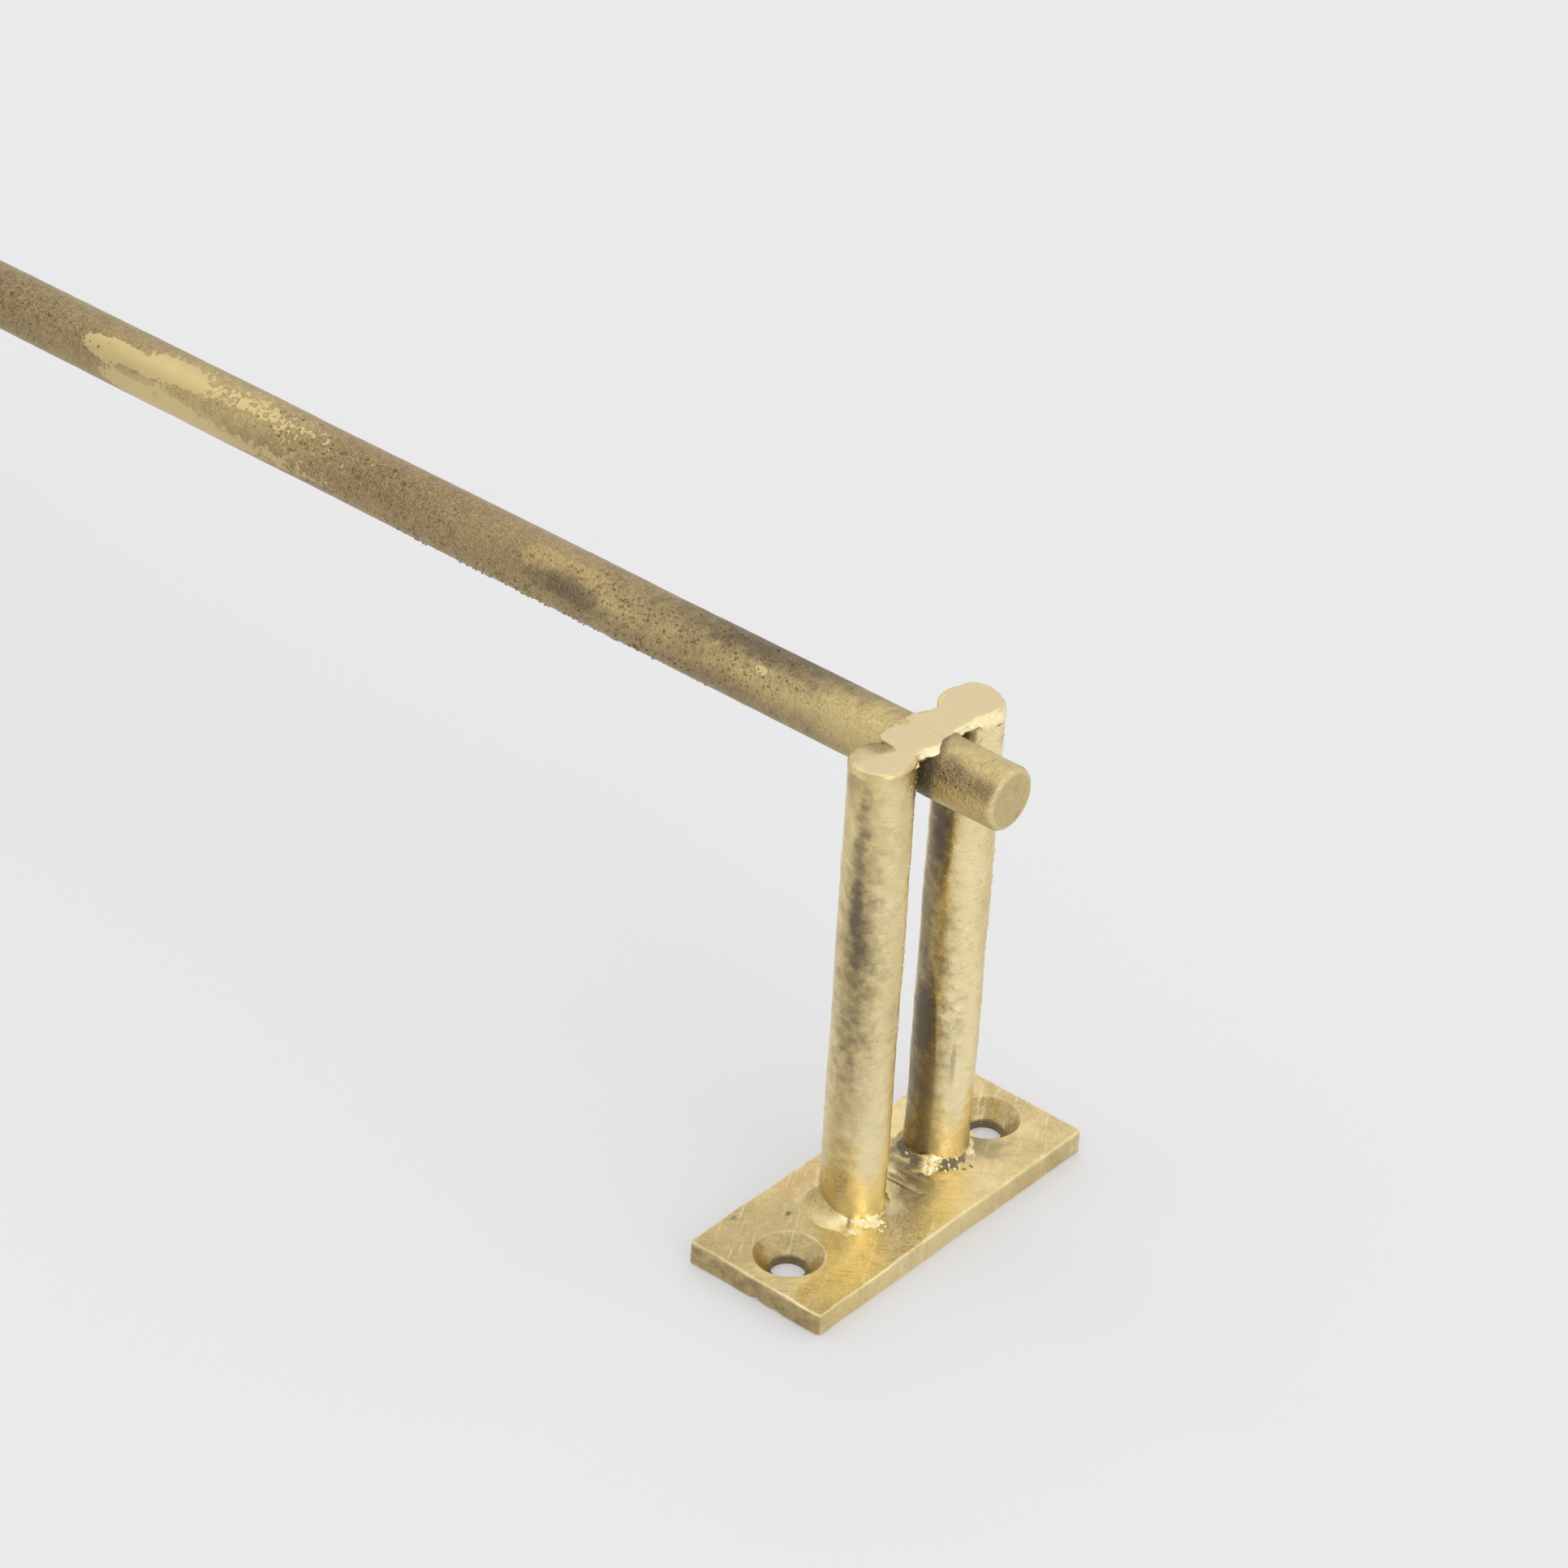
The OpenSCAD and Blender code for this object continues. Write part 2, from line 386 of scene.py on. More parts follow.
def brassFinish(name, look):
    material = bpy.data.materials.new(name)
    material.use_nodes = True
    tree = material.node_tree
    shader = tree.nodes["Principled BSDF"]
    where = put(tree, "ShaderNodeTexCoord").outputs["Object"]
    place = put(tree, "ShaderNodeMapping", Vector=where, Scale=(1000, 1000, 1000)).outputs[0]

    def strokesAt(turn, share):
        turned = put(tree, "ShaderNodeMapping", Vector=where, Rotation=turn).outputs[0]
        across = put(tree, "ShaderNodeMapping", Vector=turned, Scale=look["strokeScale"]).outputs[0]
        return useGroup(tree, fileStrokes, Place=across, Share=share)

    def over(colour, mask, share, paint):  # paint laid over the colour where the mask is
        return tint(tree, maths(tree, "MULTIPLY", mask, share), colour, look[paint])

    def cloudMask(size, amount, blur):
        return useGroup(tree, tarnishClouds, Place=place, Cloud_Size=size, Amount=amount, Blur=blur)["Mask"]

    def markMask(key, ragged, blur, grainSize):
        return useGroup(tree, raggedMark, Mark=painted(tree, key), Place=place, Ragged=ragged, Blur=blur,
                        Grain_Size=grainSize)["Mask"]

    def lifted(base, mask, amount):  # base, raised by amount where the mask is
        return maths(tree, "ADD", base, maths(tree, "MULTIPLY", mask, amount))

    grain = useGroup(tree, castGrain, Place=place, Grain_Size=look["grainSize"], Pit_Share=look["pitShare"],
                     Pit_Spacing=look["pitSpacing"], Pitted=painted(tree, "pitted"))
    sand = useGroup(tree, castGrain, Place=place, Grain_Size=look["grainSize"] * sandCoarser, Pit_Share=0.0,
                    Pit_Spacing=1.0, Pitted=0.0)["Grain"]
    clouds = cloudMask(look["cloudSize"], look["cloudAmount"], 0.12)
    mottle = cloudMask(look["mottleSize"], look["mottleAmount"], 0.1)
    strokes = strokesAt(look["strokeTurn"], look["strokeShare"])
    crossing = strokesAt(look["crossTurn"], look["strokeShare"] - 0.03)
    bright = markMask("bright", look["brightRagged"], look["brightBlur"], 0.9)
    dark = markMask("dark", look["darkRagged"], look["darkBlur"], 1.8)
    freshAndLit = markMask("freshAndLit", 0.7, 0.8, 3.0)
    dull = markMask("dull", 0.35, look["dullBlur"], 1.2)
    brown = markMask("tarnish", 0.6, 0.6, 2.6)

    colour = tint(tree, clouds, look["skin"], look["skinDark"])
    colour = over(colour, mottle, look["mottleShare"], "mottle")
    # the fresh marks: cleaner brass, and on the posts and under the rail's stub painted highlight and
    # painted light
    colour = over(colour, freshAndLit, look["freshAndLitShare"], "freshAndLit")
    colour = over(colour, brown, look["brownShare"], "brown")
    colour = over(colour, dull, look["dullShare"], "dull")
    colour = over(colour, sand, look["sandShare"], "speck")
    colour = over(colour, grain["Grain"], look["speckShare"], "speck")
    colour = over(colour, strokes["Strokes"], look["strokeTint"], "stroke")
    colour = over(colour, crossing["Strokes"], look["crossTint"], "scratch")
    colour = over(colour, grain["Dust"], look["dustShare"], "stroke")
    # the dark marks are laid in the soot colour: soot in places, and painted shade under the braze, deep in
    # the valleys and in the screw holes
    colour = over(colour, dark, look["darkShare"], "sootAndShade")
    # the bright marks: bare worn metal, and in places a painted highlight glint
    colour = over(colour, bright, look["bareShare"], "bare")
    calm = lifted(1.0, bright, -0.8)  # bare metal and the painted glints are smooth
    colour = over(colour, maths(tree, "MULTIPLY", grain["Pits"], calm), look["pitTint"], "pit")
    # painted highlight along the edges
    colour = over(colour, painted(tree, "edge"), edgeHighlightShare, "bareEdge")
    tree.links.new(colour, shader.inputs["Base Color"])

    rough = lifted(look["roughness"], grain["Grain"], look["roughSpread"])
    rough = lifted(rough, dark, 0.12)
    rough = lifted(rough, freshAndLit, -look["freshShine"])
    tree.links.new(rough, shader.inputs["Roughness"])
    tree.links.new(lifted(look["metallic"], dark, -0.3), shader.inputs["Metallic"])

    height = maths(tree, "MULTIPLY", grain["Height"], look["grainDepth"])
    height = lifted(height, sand, look["sandDepth"])
    height = lifted(height, strokes["Height"], look["strokeDepth"])
    height = lifted(height, crossing["Height"], look["strokeDepth"] * crossDepth)
    height = maths(tree, "MULTIPLY", height, calm)
    bump = put(tree, "ShaderNodeBump", Strength=1.0, Distance=mm, Height=height)
    tree.links.new(bump.outputs["Normal"], shader.inputs["Normal"])
    return material


# colours are the metal's own, before any light, except the painted highlight and shade laid on with them:
# the edge colour, and in part the bare, fresh and dark colours; sizes are in mm
railLook = {
    "skin": (0.345, 0.25, 0.127, 1), "skinDark": (0.295, 0.215, 0.112, 1),
    "cloudSize": 26.0, "cloudAmount": 0.5,
    "freshAndLit": (0.70, 0.56, 0.25, 1), "freshAndLitShare": 0.85, "freshShine": 0.06,
    "mottle": (0.46, 0.355, 0.165, 1), "mottleSize": 4.0, "mottleAmount": 0.47, "mottleShare": 0.22,
    "brown": (0.19, 0.13, 0.07, 1), "brownShare": 0.8,
    "dull": (0.47, 0.345, 0.15, 1), "dullShare": 0.85, "dullBlur": 0.06,
    "speck": (0.66, 0.52, 0.26, 1), "speckShare": 0.42, "sandShare": 0.14, "grainSize": 0.34,
    "stroke": (0.14, 0.10, 0.06, 1), "strokeTint": 0.28, "strokeShare": 0.46, "crossTint": 0.12,
    "strokeScale": (3000, 420, 420), "strokeTurn": (0, 0, 0), "crossTurn": (0, 0, math.radians(12)),
    "sootAndShade": (0.10, 0.078, 0.052, 1), "darkShare": 0.72, "darkRagged": 0.9, "darkBlur": 0.6,
    "bare": (0.66, 0.53, 0.25, 1), "bareShare": 0.76, "brightBlur": 0.05, "brightRagged": 0.8,
    "pit": (0.10, 0.075, 0.045, 1), "pitTint": 0.5, "pitSpacing": 1.0, "pitShare": 0.27,
    "bareEdge": (0.78, 0.64, 0.34, 1), "roughness": 0.36, "roughSpread": 0.12, "metallic": 0.95,
    "dustShare": 0.2, "scratch": (0.14, 0.10, 0.06, 1),
    "grainDepth": 0.2, "sandDepth": 0.08, "strokeDepth": 0.05}
postLook = {
    "skin": (0.76, 0.61, 0.275, 1), "skinDark": (0.64, 0.50, 0.22, 1),
    "cloudSize": 16.0, "cloudAmount": 0.44,
    "freshAndLit": (0.98, 0.84, 0.48, 1), "freshAndLitShare": 0.85, "freshShine": 0.03,
    "mottle": (0.46, 0.35, 0.15, 1), "mottleSize": 3.2, "mottleAmount": 0.42, "mottleShare": 0.16,
    "brown": (0.34, 0.24, 0.105, 1), "brownShare": 0.8,
    "dull": (0.21, 0.15, 0.07, 1), "dullShare": 0.8, "dullBlur": 0.25,
    "speck": (0.95, 0.81, 0.47, 1), "speckShare": 0.12, "sandShare": 0.1, "grainSize": 0.55,
    "stroke": (0.38, 0.28, 0.12, 1), "strokeTint": 0.3, "strokeShare": 0.46, "crossTint": 0.2,
    "strokeScale": (330, 330, 2600), "strokeTurn": (0, 0, 0), "crossTurn": (math.radians(14), 0, 0),
    "sootAndShade": (0.085, 0.072, 0.058, 1), "darkShare": 0.8, "darkRagged": 0.8, "darkBlur": 0.5,
    "bare": (1.0, 0.88, 0.55, 1), "bareShare": 0.6, "brightBlur": 0.9, "brightRagged": 0.4,
    "pit": (0.14, 0.10, 0.05, 1), "pitTint": 0.4, "pitSpacing": 1.4, "pitShare": 0.26,
    "bareEdge": (0.90, 0.77, 0.46, 1), "roughness": 0.27, "roughSpread": 0.12, "metallic": 1.0,
    "dustShare": 0.05, "scratch": (0.98, 0.86, 0.55, 1),
    "grainDepth": 0.025, "sandDepth": 0.035, "strokeDepth": 0.035}
plateLook = {
    "skin": (0.80, 0.65, 0.32, 1), "skinDark": (0.66, 0.50, 0.21, 1),
    "cloudSize": 10.0, "cloudAmount": 0.45,
    "freshAndLit": (0.87, 0.70, 0.29, 1), "freshAndLitShare": 0.6, "freshShine": 0.04,
    "mottle": (0.50, 0.37, 0.165, 1), "mottleSize": 2.6, "mottleAmount": 0.42, "mottleShare": 0.25,
    "brown": (0.43, 0.32, 0.14, 1), "brownShare": 0.8,
    "dull": (0.56, 0.34, 0.14, 1), "dullShare": 0.6, "dullBlur": 0.6,
    "speck": (0.95, 0.82, 0.48, 1), "speckShare": 0.12, "sandShare": 0.12, "grainSize": 0.42,
    "stroke": (0.33, 0.24, 0.10, 1), "strokeTint": 0.36, "strokeShare": 0.48, "crossTint": 0.42,
    "strokeScale": (1300, 110, 110), "strokeTurn": (0, 0, math.radians(48)),
    "crossTurn": (0, 0, math.radians(-28)),
    "sootAndShade": (0.12, 0.09, 0.05, 1), "darkShare": 0.75, "darkRagged": 0.9, "darkBlur": 0.5,
    "bare": (0.88, 0.76, 0.43, 1), "bareShare": 0.6, "brightBlur": 0.6, "brightRagged": 0.7,
    "pit": (0.22, 0.16, 0.08, 1), "pitTint": 0.45, "pitSpacing": 1.7, "pitShare": 0.2,
    "bareEdge": (0.95, 0.82, 0.48, 1), "roughness": 0.29, "roughSpread": 0.1, "metallic": 1.0,
    "dustShare": 0.15, "scratch": (0.98, 0.87, 0.56, 1),
    "grainDepth": 0.025, "sandDepth": 0.02, "strokeDepth": 0.07}
brazeLook = {
    "skin": (0.76, 0.60, 0.25, 1), "skinDark": (0.62, 0.48, 0.19, 1),
    "cloudSize": 5.0, "cloudAmount": 0.45,
    "freshAndLit": (0.99, 0.86, 0.50, 1), "freshAndLitShare": 0.95, "freshShine": 0.08,
    "mottle": (0.46, 0.34, 0.15, 1), "mottleSize": 1.6, "mottleAmount": 0.42, "mottleShare": 0.4,
    "brown": (0.46, 0.345, 0.14, 1), "brownShare": 0.8,
    "dull": (0.30, 0.22, 0.10, 1), "dullShare": 0.85, "dullBlur": 0.4,
    "speck": (0.97, 0.86, 0.57, 1), "speckShare": 0.2, "sandShare": 0.15, "grainSize": 0.4,
    "stroke": (0.50, 0.38, 0.18, 1), "strokeTint": 0.16, "strokeShare": 0.44, "crossTint": 0.08,
    "strokeScale": (1800, 400, 400), "strokeTurn": (0, 0, 0.5), "crossTurn": (0, 0, -0.3),
    "sootAndShade": (0.10, 0.095, 0.08, 1), "darkShare": 0.8, "darkRagged": 1.2, "darkBlur": 0.4,
    "bare": (0.70, 0.575, 0.345, 1), "bareShare": 0.92, "brightBlur": 0.05, "brightRagged": 0.1,
    "pit": (0.14, 0.11, 0.07, 1), "pitTint": 0.6, "pitSpacing": 1.0, "pitShare": 0.24,
    "bareEdge": (0.90, 0.77, 0.48, 1), "roughness": 0.28, "roughSpread": 0.12, "metallic": 1.0,
    "dustShare": 0.12, "scratch": (0.98, 0.87, 0.56, 1),
    "grainDepth": 0.06, "sandDepth": 0.04, "strokeDepth": 0.02}
railBrass = brassFinish("tarnishedRailBrass", railLook)
postBrass = brassFinish("castPostBrass", postLook)
plateBrass = brassFinish("filedPlateBrass", plateLook)
brazeBrass = brassFinish("brazeFiller", brazeLook)
print("finishes made")


# where each bracket stands, and which way is outwards

brackets = {}
for end, outward in (("left", -1), ("right", 1)):
    frontLow, frontHigh = boxMm(end + "_front_post")
    rearLow, rearHigh = boxMm(end + "_rear_post")
    brackets[end] = {
        "outward": outward, "x": (frontLow[0] + frontHigh[0]) / 2, "y": (frontLow[1] + rearHigh[1]) / 2,
        "postOut": (rearHigh[1] + rearLow[1] - frontHigh[1] - frontLow[1]) / 4,
        "postRadius": (frontHigh[0] - frontLow[0]) / 2, "foot": frontLow[2], "top": frontHigh[2]}


def toBracket(points, bracket):  # from the bracket's own millimetres to the frame's
    placed = points.copy()
    placed[..., 0] = bracket["x"] + bracket["outward"] * points[..., 0]
    placed[..., 1] = bracket["y"] + points[..., 1]
    return placed


def keep(piece, node, finish):
    if not piece.data.materials:
        piece.data.materials.append(finish)
    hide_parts(node)
    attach(piece, "root")


# the rail

railWork = {
    "step": 0.5, "around": 72, "endBevel": 0.7, "seed": 3,
    "skin": {"wave": 0.06, "waveSize": 14, "dent": 0.03, "dentSize": 2.2, "pitSize": 1.0, "pitShare": 0.35,
             "pitDepth": 0.06},
    # places on the rail: distance from a bracket, below 0 on its inner side, degrees from the crest
    # towards the front, half length, half width, strength
    # the small bright mark at -28.4 mm, 44 degrees is a painted highlight glint; the others are worn bare
    # patches
    "bright": [(-162, 52, 8.5, 2.2, 3), (-150, 34, 7.5, 2.5, 1.6), (-154, 100, 12, 3.0, 1.6),
               (-140, 108, 13, 1.8, 0.6), (-136, 36, 12, 2.2, 0.16), (-128, 98, 7, 1.3, 0.2),
               (-28.4, 44, 1.2, 0.7, 1.2)],
    "cover": [(-158.5, 74, 4.8, 0.7, 1.2), (-144, 68, 8, 1.2, 0.9), (-134, 66, 10, 2.2, 0.6),
              (-153, 92, 0.6, 0.4, 3)],  # brown left inside the bright patch
    # the fresh mark at 10 mm, 104 degrees under the stub is painted light, lifting the shade that falls
    # there
    "freshAndLit": [(-137, 34, 15, 3.0, 0.7), (-57, 60, 7, 1.8, 0.9), (-47, 50, 6, 1.8, 0.2),
              (-22, 66, 14, 3.0, 0.5), (-8, 40, 12, 7, 1.6), (12, 0, 8, 3.4, 1.4), (10, 104, 8, 4.2, 3),
              (-150, 104, 14, 3.2, 1.6)],
    "dull": [(-71.5, 41, 4.0, 2.4, 1.8), (-63.5, 27, 4.2, 1.1, 0.9), (-145, 30, 12, 3.4, 0.3)],
    "tarnish": [(7.4, 54, 2.8, 1.9, 1.2), (-105, 30, 18, 3.4, 0.5), (-46, 25, 9, 2.6, 0.3),
                (12.2, 62, 2.4, 1.4, 0.6), (-36, 110, 18, 2.6, 0.5), (-30, 5, 16, 2.6, 0.5)],
    # the dark mark at 2.8 mm, 80 degrees is painted shade under the braze; the others are smudges and
    # streaks
    "dark": [(-66, 70, 7, 1.8, 0.9), (-33, 0, 12, 2.0, 0.45), (-27, -20, 19, 2.0, 0.5),
             (2.8, 80, 2.4, 8, 2.2)],
    "pitted": [(-58, 58, 10, 2.6, 1.2), (-46, 60, 8, 2.0, 0.8), (-70, 110, 36, 3.6, 0.6),
               (-40, 30, 16, 3, 0.6)],
    "flecks": [(-112, 60, 22, 6, 0.9), (-58, 62, 22, 5, 1.2), (-72, 112, 40, 3.5, 1.2),
               (-36, 40, 20, 5, 1.0)],
    "patchEnd": -100,  # the long bright patch is all further inwards than this
    "crumbs": {"perSquare": 1.4, "size": 0.27, "shine": -0.6}, "crumbMiddle": -68,
    "dressed": 6.0, "dressedEnd": 3.4, "dressedDrop": 0.06}


def makeRail():
    low, high = boxMm("rail_rod")
    radius = (high[1] - low[1]) / 2
    middle = np.array([low[0], (low[1] + high[1]) / 2, low[2] + radius])
    work = railWork
    stations = barStations(high[0] - low[0], radius, work["endBevel"], work["step"])
    turn = np.linspace(0, 2 * math.pi, work["around"], endpoint=False)
    along, angle = np.meshgrid(stations[:, 0], turn, indexing="ij")
    plain = np.repeat(stations[:, 1:2], work["around"], axis=1)
    spots = np.stack([along, radius * np.sin(angle), radius * np.cos(angle)], axis=-1)
    full = ramp(plain, radius * 0.9, radius)
    rings = plain + castSkin(spots, work["skin"], work["seed"]) * full
    x = along + low[0]
    points = np.stack([x, middle[1] - rings * np.sin(angle), middle[2] + rings * np.cos(angle)], axis=-1)
    arc = (np.degrees(angle), radius)
    underneath = ramp(-np.cos(angle - math.radians(20)), 0.2, 0.8)
    marks = {}
    for bracket in brackets.values():
        outwards = (x - bracket["x"]) * bracket["outward"]
        near = paintMarks(work, lambda places: markField(outwards, arc, places), x)
        cover = markField(outwards, arc, work["cover"])
        near["bright"] = np.minimum(near["bright"], np.where(cover > -0.9, -cover, 9))
        if bracket["outward"] < 0:  # the long patch is there once, measured from the right bracket
            for key in ("bright", "freshAndLit", "dull"):
                near[key] = np.where(outwards < work["patchEnd"], -1, near[key])
        marks = {key: np.maximum(near[key], marks.get(key, near[key])) for key in near}
        gritty = underneath * ramp(-np.abs(outwards - work["crumbMiddle"]), -34, -14)
        flecked = 0.55 * ramp(markField(outwards, arc, work["flecks"]), -0.2, 0.8)
        marks["crumbs"] = np.maximum(marks["crumbs"], np.maximum(gritty, flecked))
        # the crest is dressed flat where it passes between the posts, and runs out inwards
        runOut = ramp(-outwards, work["dressed"] - 2, work["dressed"] + 2)
        limit = bracket["top"] - work["dressedDrop"] + 0.3 * runOut
        limit = limit + 9 * ramp(outwards, work["dressedEnd"], work["dressedEnd"] + 0.2)
        points[..., 2] = np.minimum(points[..., 2], limit)
    onEnd = plain < radius - work["endBevel"] * 0.5
    marks["freshAndLit"] = np.where(onEnd, 1.2, marks["freshAndLit"])
    marks["tarnish"] = np.where(onEnd, -0.6, marks["tarnish"])
    # painted highlight round the end bevels
    marks["edge"] = 1.0 * ((plain > radius - work["endBevel"] - 0.05) & (plain < radius - 0.05))
    poles = np.array([[low[0], middle[1], middle[2]], [high[0], middle[1], middle[2]]])
    piece = loft("rail", points, poles, marks)
    addCrumbs(piece, work["crumbs"], work["seed"] + 2, railBrass)
    keep(piece, "rail_rod", railBrass)


makeRail()
print("rail made")


# the posts

postWork = {
    "step": 0.4, "around": 84, "topBevel": 0.3, "shoulderDrop": 0.7, "facetDrop": 1.0, "footFlare": 0.35,
    "hammerDepth": 0.05, "runDepth": 0.12, "seed": 40,
    "crumbs": {"perSquare": 0.3, "size": 0.22, "shine": 0.3},
    "skin": {"wave": 0.10, "waveSize": 12, "dent": 0.06, "dentSize": 2.2, "pitSize": 1.1, "pitShare": 0.35,
             "pitDepth": 0.12},
    # places on each post: height, bearing round it from outwards, half length, half width, strength
    "front": {
        "dark": [(72, -78, 6, 0.6, 0.2), (61, -80, 7, 1.1, 0.75), (54, -74, 6, 1.2, 0.5),
                 (46, -76, 7, 0.8, 0.1), (79, 78, 5, 5, 1.5)],
        "tarnish": [(82, -108, 5, 1.6, 0.6), (56, -76, 14, 2.4, 0.6), (38, -76, 12, 1.6, 0.1),
                    (5, -100, 6, 4, 0.3)],
        # painted highlight: the bright and fresh marks on this post are a lit band down its length, a glint
        # near its foot and, at -128 degrees, its lit left edge
        "bright": [(12, -32, 13, 4.2, 1.0)],
        "freshAndLit": [(20, -34, 28, 3.2, 1.8), (60, -32, 26, 2.2, 0.7), (40, -128, 34, 2.0, 0.3),
                  (8, -35, 10, 6, 2.2)],
        "pitted": [(22, -84, 20, 1.6, 1.0), (62, -74, 18, 2.5, 0.8)]},
    "rear": {
        "dark": [(64, -94, 6, 1.8, 0.55), (30, -94, 7, 2.2, 0.9), (20, -86, 12, 2.0, 0.2),
                 (81, -66, 2.4, 1.5, 1.2)],
        "dull": [(16, -99, 26, 3.0, 4.0), (64, -97, 14, 2.5, 1.6), (48, -112, 14, 1.6, 0.6)],
        "tarnish": [(14, -98, 18, 2.9, 1.0), (48, -104, 30, 2.2, 0.7), (23, -36, 4, 0.4, 1.4),
                    (66, -100, 12, 2.2, 0.6)],
        # painted highlight: the bright and fresh marks on this post are a lit band down its length, a glint
        # near its foot and a lit patch near its top
        "bright": [(12, -24, 12, 3.6, 1.2)],
        "freshAndLit": [(24, -28, 32, 3.4, 2.2), (56, -30, 22, 2.6, 0.9), (80, -8, 8, 5.0, 2.4),
                  (8, -30, 9, 4, 2.5)],
        "pitted": [(45, -25, 30, 4, 0.8)]}}


def makePost(end, side):
    bracket = brackets[end]
    node = end + "_" + side + "_post"
    low, high = boxMm(node)
    work = postWork
    radius = bracket["postRadius"]
    stations = barStations(high[2] - low[2], radius, work["topBevel"], work["step"])
    turn = np.linspace(0, 2 * math.pi, work["around"], endpoint=False)
    along, angle = np.meshgrid(stations[:, 0], turn, indexing="ij")
    plain = np.repeat(stations[:, 1:2], work["around"], axis=1)
    full = ramp(plain, radius * 0.9, radius)
    sideSign = 1 if side == "rear" else -1
    centreY = sideSign * bracket["postOut"]
    seed = work["seed"] + 7 * sideSign + 3 * bracket["outward"]
    spots = np.stack([radius * np.cos(angle), radius * np.sin(angle), along], axis=-1)
    rings = plain + castSkin(spots, work["skin"], seed) * full
    if side == "rear":
        hammered = ramp(np.cos(angle + 0.3), 0.3, 0.8) * full
        rings = rings + work["hammerDepth"] * hammered * layered(spots, 1.3, seed + 50)
        run = ramp(along + low[2], 76, 79.5) * ramp(np.cos(angle + 0.1), 0.72, 0.95) * full
        rings = rings + run * (work["runDepth"] + 0.3 * layered(spots, 1.5, seed + 30))
        rings = rings + work["footFlare"] * ramp(-along, -9, 0) * full * ramp(-np.cos(angle), -0.4, 0.6)
    z = low[2] + along
    points = np.stack([rings * np.cos(angle), centreY + rings * np.sin(angle), z], axis=-1)
    arc = (np.degrees(angle), radius)
    marks = paintMarks(work[side], lambda places: markField(z, arc, places), z)
    upper = z > high[2] - 1.4
    if side == "front":  # the braze missed the inner shoulder of this post's top, so it is lower and brown
        shoulder = ramp(-points[..., 0], 0.4, 4.0) * upper
        points[..., 2] -= work["shoulderDrop"] * shoulder
        recess = 1 - np.hypot((points[..., 0] + 2.4) / 2.4, (points[..., 1] + 8.0) / 2.0)
        marks["tarnish"] = np.where(upper, np.maximum(0.4 * shoulder - 0.3, recess * 1.4), marks["tarnish"])
        # painted shade darkens the recess beside the rail; the brown above is tarnish
        marks["dark"] = np.where(upper, recess * 0.3 - 0.3, marks["dark"])
    else:  # this one's outer edge was melted away, and the braze has run down over it
        facet = ramp(points[..., 0], 2.8, 5.2) * upper
        points[..., 2] -= work["facetDrop"] * facet
    marks["crumbs"] = ramp(np.cos(angle - math.radians(35)), 0.6, 0.95) * ramp(z, 25, 45) * (full > 0.5)
    poles = np.array([[0, centreY, low[2]], [0, centreY, high[2] - (0.05 if side == "front" else 0)]])
    name = end + "Post" + side.capitalize()
    piece = loft(name, toBracket(points, bracket), toBracket(poles, bracket), marks)
    addCrumbs(piece, work["crumbs"], seed, postBrass)
    keep(piece, node, postBrass)


for end in brackets:
    for side in ("front", "rear"):
        makePost(end, side)
print("posts made")


# the foot plates

plateWork = {
    "countersink": 5.4, "cornerRadius": 0.8, "edgeBevel": 0.35, "perSide": 56, "perEnd": 52, "topRings": 56,
    "fileWave": 0.10, "topWave": 0.05, "sharpAngle": 28, "seed": 70,
    "troughs": [(-1.1, 0.32, 0.30), (1.5, 0.4, 0.16)],  # place along, half width, depth
    # places on the plate: across, along, half width, half length, strength
    "dark": [(4.4, 15, 3.2, 2.4, 0.4), (2, -1.4, 3.2, 0.45, 1.6), (1.5, -0.4, 2.6, 0.35, 1.2),
             (0.5, 2.4, 4.2, 1.2, 0.8), (-4, 5.5, 1.5, 2.5, 0.6), (5.0, -1.6, 1.4, 2.4, 0.2),
             (-10.4, -25, 0.4, 0.35, 1), (-5.2, -18.6, 0.4, 0.6, 0.6)],
    "tarnish": [(-5, -24, 7.5, 13, 0.9), (5, -1, 3.5, 4, 0.9), (5.0, 14.5, 4, 3, 1.6),
                (11.5, 25, 2.4, 5, 0.3), (-7, -33, 6, 5, 1.0), (5, -35, 12, 2.6, 0.2),
                (8, -6, 2.6, 3, 0.3), (2, 27, 5, 3, 0.5)],
    "dull": [(-9.5, -8.5, 3.6, 6.5, 0.9), (9.5, 6, 2, 6, 0.1)],
    "freshAndLit": [(7.4, -15.4, 2.2, 2.6, 2.2), (2.4, -3.2, 1.3, 1.4, 2), (9.5, -27, 4.5, 8, 0.7),
              (2, 0.6, 4, 0.6, 1.2), (11, -19, 4, 2, 1.0), (9.6, 0, 2.6, 6, 0.8), (10.5, -11, 2, 4, 0.7)],
    "bright": [(2, -17.2, 2.4, 2.2, 0.5), (4, -6.4, 3.4, 2.4, 1.2), (-3.5, -9, 2.4, 4, 0.4),
               (9.5, -4, 2, 5, 0.5), (9.5, 1, 2.4, 5, 0.1), (4.5, -18, 2, 2, 0.4)],
    "pitted": [(-11, -24, 1.5, 10, 1.0), (0, -30, 12, 4, 0.3)]}


